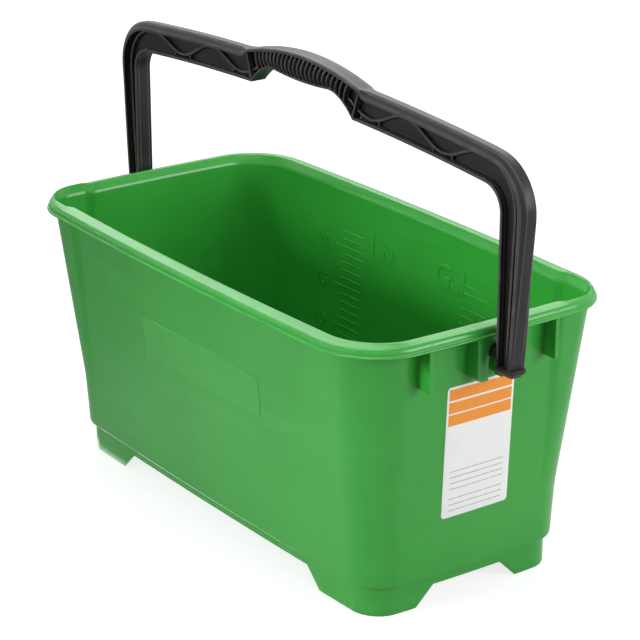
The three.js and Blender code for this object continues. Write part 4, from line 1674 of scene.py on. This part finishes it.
        outer_foot = self.leg_inner + self.leg_foot - slope * self.leg_overlap
        inner = edge(self.leg_inner, inner_turn, self.lift_start, (self.bar_low, self.grip_low))
        outer = edge(outer_foot, outer_turn, self.grip_top, (self.bar_high, self.grip_high))
        outer[:, 0] = np.minimum(outer[:, 0], self.outermost)
        rest = len(inner) - len(leg)
        way = (inner[: len(leg), 1] - foot_top) / (inner_turn[0, 1] - foot_top)
        up = self.edge_drop * np.clip(way, 0.0, 1.0) ** self.leg_drop_power
        drop = np.concatenate([np.maximum(up, self.leg_least_drop), np.full(rest, self.edge_drop)])
        turning = self.leg_flat + (self.edge_flat - self.leg_flat) * np.linspace(0.0, 1.0, turn_count)
        over = np.full(rest - turn_count, self.edge_flat)
        flat = np.concatenate([np.full(len(leg), self.leg_flat), turning, over])
        halves = ((inner, inner * FLIP), (outer, outer * FLIP), (drop, drop), (flat, flat))
        return tuple(np.concatenate([half, other[-2::-1]]) for half, other in halves)

    def sections(self, height: np.ndarray, x: np.ndarray, drop: np.ndarray, flat: np.ndarray) -> np.ndarray:
        """The beam's sections: an inner band, a thin web, and an outer band with sloping edges.

        On the grip the outer band is flatter and thinner.

        Args:
            height: Distance between the edges at each station.
            x: Place of each station along the length.
            drop: Drop of the outer band's edges.
            flat: Flat width of the outer band.

        Returns:
            Outlines shaped (stations, points, 2), each point a distance out and a depth.
        """
        grip = 1.0 - smooth_step((np.abs(x) - self.grip_top) / self.grip_blend)

        def mix(plain: np.ndarray | float, held: float) -> np.ndarray:
            """The bar's size, or on the grip the grip's."""
            return plain + (held - plain) * grip

        drop, flat = mix(drop, self.grip_drop), mix(flat, self.grip_flat) / 2
        band = mix(self.band, self.grip_band)
        half, web = np.full_like(height, self.depth / 2), np.full_like(height, self.web / 2)
        under = height - mix(self.band + self.web / 2, self.grip_under)
        outs = [0.0 * height, band, band, under, under, height - drop - band, height - drop, height]
        deeps = [half, half, web, web, flat - self.web / 2, half, half, flat]
        out = np.stack(outs + outs[::-1], axis=1)
        deep = np.stack(deeps + [-depth for depth in deeps[::-1]], axis=1)
        setback = np.array(self.section_rounds + self.section_rounds[::-1])
        return round_corners(np.stack([out, deep], axis=-1), setback, self.section_round_steps)

    def beam(self) -> Skin:
        """The beam's skin: its sections carried along the stations.

        Returns:
            The skin.
        """
        inner, outer, drop, flat_width = self.stations()
        across = outer - inner
        height = np.linalg.norm(across, axis=1)
        outlines = self.sections(height, outer[:, 0], drop, flat_width)
        direction = across / height[:, None]
        flat = inner[:, None, :] + direction[:, None, :] * outlines[..., :1]
        return Skin().add_tube(np.stack([flat[..., 0], outlines[..., 1], flat[..., 1]], axis=-1))

    def rib(
        self, skin: Skin, path: np.ndarray, thickness: float, depth: np.ndarray | float, soft: float
    ) -> None:
        """Adds a flat bar with round edges along a path in the handle's plane.

        Args:
            skin: Where it goes.
            path: X and Z, shaped (points, 2).
            thickness: Its size across the path.
            depth: Its size across the handle, one number or one per point.
            soft: Rounding of its edges.
        """
        ahead = np.gradient(path, axis=0)
        ahead /= np.linalg.norm(ahead, axis=1, keepdims=True)
        side = np.stack([-ahead[:, 1], ahead[:, 0]], axis=1)
        half = np.stack([np.full(len(path), thickness / 2), np.full(len(path), 0.5) * depth], axis=1)
        corners = np.stack([half * signs for signs in ((-1, -1), (1, -1), (1, 1), (-1, 1))], axis=1)
        outline = round_corners(corners, soft, self.rib_round_steps)
        flat = path[:, None, :] + side[:, None, :] * outline[..., :1]
        skin.add_tube(np.stack([flat[..., 0], outline[..., 1], flat[..., 1]], axis=-1))

    def wave_length(self) -> float:
        """Length of one wave of the wavy rib."""
        return (self.last_crest - self.wave_end) / self.wave_count

    def wave(self, x: np.ndarray) -> np.ndarray:
        """Height of the wavy rib: a cosine above the bar's lower edge."""
        turn = 2 * math.pi * (x - self.last_crest) / self.wave_length()
        return self.bar_low(x) + self.wave_middle + self.wave_height * np.cos(turn)

    def ribs(self) -> Skin:
        """The wavy rib, its ticks, and the grip's end rib, on one half of the handle.

        The rib runs up the middle of the leg and turns into the wave along a cubic curve, which two
        points steer from the leg's shoulder to the last crest.

        Returns:
            The skin.
        """
        skin = Skin()
        inner, outer, _, _ = self.stations()
        middle = (inner + outer) / 2
        last, legs = self.last_crest, self.station_counts[0] - 1
        crest = np.array([last, float(self.wave(np.array(last)))])
        shoulder = middle[legs]
        corner = np.array([shoulder[0], crest[1]])
        t = np.linspace(0.0, 1.0, self.turn_points)[:, None]
        one, two = (end + (corner - end) * self.wave_steer for end in (shoulder, crest))
        turn = (1 - t) ** 3 * shoulder + 3 * t * (1 - t) ** 2 * one
        turn = turn + 3 * t**2 * (1 - t) * two + t**3 * crest
        x = np.linspace(last, self.wave_end, self.wave_points)[1:]
        waves = np.stack([x, self.wave(x)], axis=1)
        path = np.concatenate([middle[: legs : self.leg_rib_step], turn, waves])
        self.rib(skin, path, self.rib_thickness, self.wave_depth, self.rib_soft)
        for bend in range(self.bends):
            for spread in (-self.tick_spread, self.tick_spread):
                at = last - bend * self.wave_length() / 2 + spread
                low = float(self.bar_low(at)) + self.tick_sink[0]
                high = float(self.bar_high(at)) - self.tick_sink[1]
                ends = np.array([[at, float(self.wave(np.array(at)))], [at, low if bend % 2 else high]])
                path = np.linspace(*ends, self.tick_points)
                self.rib(skin, path, self.rib_thickness, self.tick_depth, self.thin_soft)
        ends = self.grip_ends(self.grip_foot, self.grip_top)
        path = np.linspace(*ends, self.end_rib_points)
        self.rib(skin, path, self.rib_thickness, self.fin_depth, self.rib_soft)
        return skin

    def grip_ends(self, foot_x: float, top_x: float) -> np.ndarray:
        """The lower and upper end of a fin across the grip, sunk into its edges."""
        low, high = float(self.grip_low(foot_x)), float(self.grip_high(top_x))
        return np.array([[foot_x, low + self.fin_sink[0]], [top_x, high - self.fin_sink[1]]])

    def fins(self) -> Skin:
        """Thin fins across the grip, fanned about its middle, bulging by a sine of the way up.

        Returns:
            The skin.
        """
        skin = Skin()
        up = np.linspace(0.0, 1.0, self.fin_points)
        for share in np.linspace(-1.0, 1.0, self.fin_count):
            ends = self.grip_ends(share * self.fin_span[0], share * self.fin_span[1])
            bulge = self.fin_bulge[0] + (self.fin_bulge[1] - self.fin_bulge[0]) * share * share
            path = ends[0] + (ends[1] - ends[0]) * up[:, None]
            depth = self.fin_depth + 2 * bulge * np.sin(math.pi * up)
            self.rib(skin, path, self.fin_thickness, depth, self.thin_soft)
        return skin

    def feet(self) -> Skin:
        """The foot plate of one leg, in rounded levels, and its headed pin, turned about the pins' axis.

        Returns:
            The skin.
        """
        rings = []
        for inset, below in (*self.plate_levels, (self.plate_top_inset, self.foot_drop)):
            back, front = self.plate_inner + inset, self.plate_outer - inset
            side = self.plate_half_depth - inset
            corners = np.array([[back, -side], [front, -side], [front, side], [back, side]])
            outline = round_corners(corners, np.array(self.plate_corners), self.plate_round_steps)
            rings.append(np.column_stack([outline, np.full(len(outline), self.pivot - below)]))
        skin = Skin().add_tube(np.array(rings))
        angle = np.linspace(0.0, 2 * math.pi, self.pin_points)[:-1]
        profile = np.array(self.pin_head + self.pin_shaft)
        x, radius = profile[:, :1] + self.pin_from + 0.0 * angle, profile[:, 1:]
        height = self.pivot + radius * np.sin(angle)
        return skin.add_tube(np.stack([x, radius * np.cos(angle), height], axis=-1))

    def put(self, skin: Skin, name: str, material: bpy.types.Material) -> bpy.types.Object:
        """Places one of the handle's pieces."""
        return place(skin.mesh(name), Body.HANDLE, Slot.HANDLE, material)

    def build(self, material: bpy.types.Material) -> None:
        """Builds every piece of the handle.

        Args:
            material: The finish.
        """
        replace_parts(self.put(self.beam(), "handle_beam", material), "handle")
        self.put(self.ribs().mirrored(), "handle_ribs", material)
        self.put(self.fins(), "handle_grip_fins", material)
        self.put(self.feet().mirrored(), "handle_feet_and_pins", material)


@dataclass(frozen=True)
class Lamp:
    """A soft panel lamp: its place, size and aim in metres, power in watts and beam in degrees."""

    name: str
    at: Point
    size: Pair
    watts: float
    aim: Point = (0.0, 0.0, 0.18)
    spread: float = 180.0
    mirrored: bool = True

    def build(self) -> None:
        """Makes the lamp; shiny surfaces mirror its panel only where it says so."""
        data = bpy.data.lights.new(self.name, "AREA")
        data.shape = "RECTANGLE"
        data.size, data.size_y = self.size
        data.energy = self.watts
        data.spread = math.radians(self.spread)
        lamp = link(self.name, data)
        lamp.location = self.at
        lamp.visible_glossy = self.mirrored
        lamp.rotation_mode = "QUATERNION"
        lamp.rotation_quaternion = (Vector(self.aim) - Vector(self.at)).to_track_quat("-Z", "Y")


@dataclass
class Studio:
    """Floor, world, lamps and camera, in metres and degrees."""

    azimuth: float = 54.40
    elevation: float = 20.67
    lens: float = 136.6
    sensor: float = 36.0
    clip: Pair = (0.05, 50.0)
    camera_at: Point = (1.7433, -1.2340, 0.9892)
    sky: Colour = (0.92, 0.94, 0.97, 1.0)
    sky_strength: float = 0.34
    foot_half: Pair = (0.24, 0.105)
    near_reach: float = 0.012
    near_end: float = -0.1
    near_glow: Colour = (2.4, 2.4, 2.4, 1.0)
    far_range: Pair = (-0.55, -0.12)
    far_share: float = 0.16
    floor_colour: Colour = (0.36, 0.36, 0.36, 1.0)
    camera_glow: Colour = (0.80, 0.80, 0.80, 1.0)
    floor_reach: float = 12.0
    floor_level: float = -0.0004
    lamps: tuple[Lamp, ...] = (
        Lamp("front", (-0.5, -3.2, 1.05), (1.0, 0.8), 2.4, (0.36, -0.1, 0.12), 22.0, False),
        Lamp("right", (2.5, 1.1, 1.1), (1.8, 1.4), 49.0),
        Lamp("top", (-0.2, -0.2, 2.8), (1.6, 1.6), 24.0),
        Lamp("back", (-1.6, 1.3, 2.2), (3.0, 2.4), 50.0),
    )

    def camera(self) -> None:
        """Makes the camera at the photograph's viewing angle."""
        data = bpy.data.cameras.new("camera")
        data.lens, data.sensor_width = self.lens, self.sensor
        data.clip_start, data.clip_end = self.clip
        camera = link("camera", data)
        a, e = math.radians(self.azimuth), math.radians(self.elevation)
        back = Vector((math.sin(a) * math.cos(e), -math.cos(a) * math.cos(e), math.sin(e)))
        camera.rotation_mode = "QUATERNION"
        camera.rotation_quaternion = (-back).to_track_quat("-Z", "Y")
        camera.location = self.camera_at
        bpy.context.scene.camera = camera

    def world(self) -> None:
        """A grey world that camera, glossy and transmitted rays see as white."""
        world = bpy.data.worlds.new("studio")
        bpy.context.scene.world = world
        bench = Bench(world)
        path = bench.node("ShaderNodeLightPath")
        seen = path.output("Is Camera Ray").most(path.output("Is Transmission Ray"))
        plain = bench.node("ShaderNodeBackground", inputs={"Color": self.sky, "Strength": self.sky_strength})
        white = bench.node("ShaderNodeBackground", inputs={"Color": WHITE, "Strength": 1.0})
        share = seen.most(path.output("Is Glossy Ray"))
        mixed = bench.node("ShaderNodeMixShader", inputs={0: share, 1: plain, 2: white})
        bench.node("ShaderNodeOutputWorld", inputs={"Surface": mixed})

    def floor_material(self) -> bpy.types.Material:
        """A matte floor that glows white to the camera, and dimly to gloss past the tub's far end.

        Close beside the tub's near half it glows brightly to gloss.

        Returns:
            The material.
        """
        bench = Bench(bpy.data.materials.new("pale_floor"))
        path = bench.node("ShaderNodeLightPath")
        along, across, _ = bench.axes(bench.place())
        away = (abs(along) - self.foot_half[0]).most(abs(across) - self.foot_half[1])
        close = away.rise(self.near_reach, 0.0) * along.rise(self.foot_half[0], self.near_end)
        share = close.most(along.rise(*self.far_range) * self.far_share)
        mirrored = bench.blend(share, BLACK, self.near_glow)
        matte = bench.node("ShaderNodeBsdfDiffuse", inputs={"Color": self.floor_colour})
        colour = bench.blend(path.output("Is Glossy Ray"), BLACK, mirrored)
        colour = bench.blend(path.output("Is Camera Ray"), colour, self.camera_glow)
        glow = bench.node("ShaderNodeEmission", inputs={"Color": colour, "Strength": 1.0})
        both = bench.node("ShaderNodeAddShader", inputs={0: matte, 1: glow})
        bench.node("ShaderNodeOutputMaterial", inputs={"Surface": both})
        return bench.owner

    def floor(self) -> None:
        """A pale floor that stays white to the camera and keeps a soft shadow."""
        corners = np.array([[-1.0, -1.0], [1.0, -1.0], [1.0, 1.0], [-1.0, 1.0]]) * self.floor_reach
        points = np.column_stack([corners, np.full(len(corners), self.floor_level)])
        mesh = bpy.data.meshes.new("floor")
        mesh.from_pydata(points.tolist(), [], [(0, 1, 2, 3)])
        mesh.materials.append(self.floor_material())
        floor = link("floor", mesh)

    def build(self) -> None:
        """Sets up the studio and the view settings."""
        self.camera()
        self.world()
        self.floor()
        for lamp in self.lamps:
            lamp.build()
        bpy.context.scene.view_settings.view_transform = "Standard"


def main() -> None:
    """Builds the studio, the tub, the label and the handle, in that order."""
    logging.basicConfig(level=logging.INFO, format="%(name)s %(message)s")
    Studio().build()
    tub = Tub()
    green = GreenPlastic().material()
    tub.build(green, ETCHED_GREEN.material())
    VolumeScale(tub).build(green)
    Label(tub).build(LabelFilm().material())
    Handle().build(BlackPlastic().material())


if __name__ == "__main__":
    main()
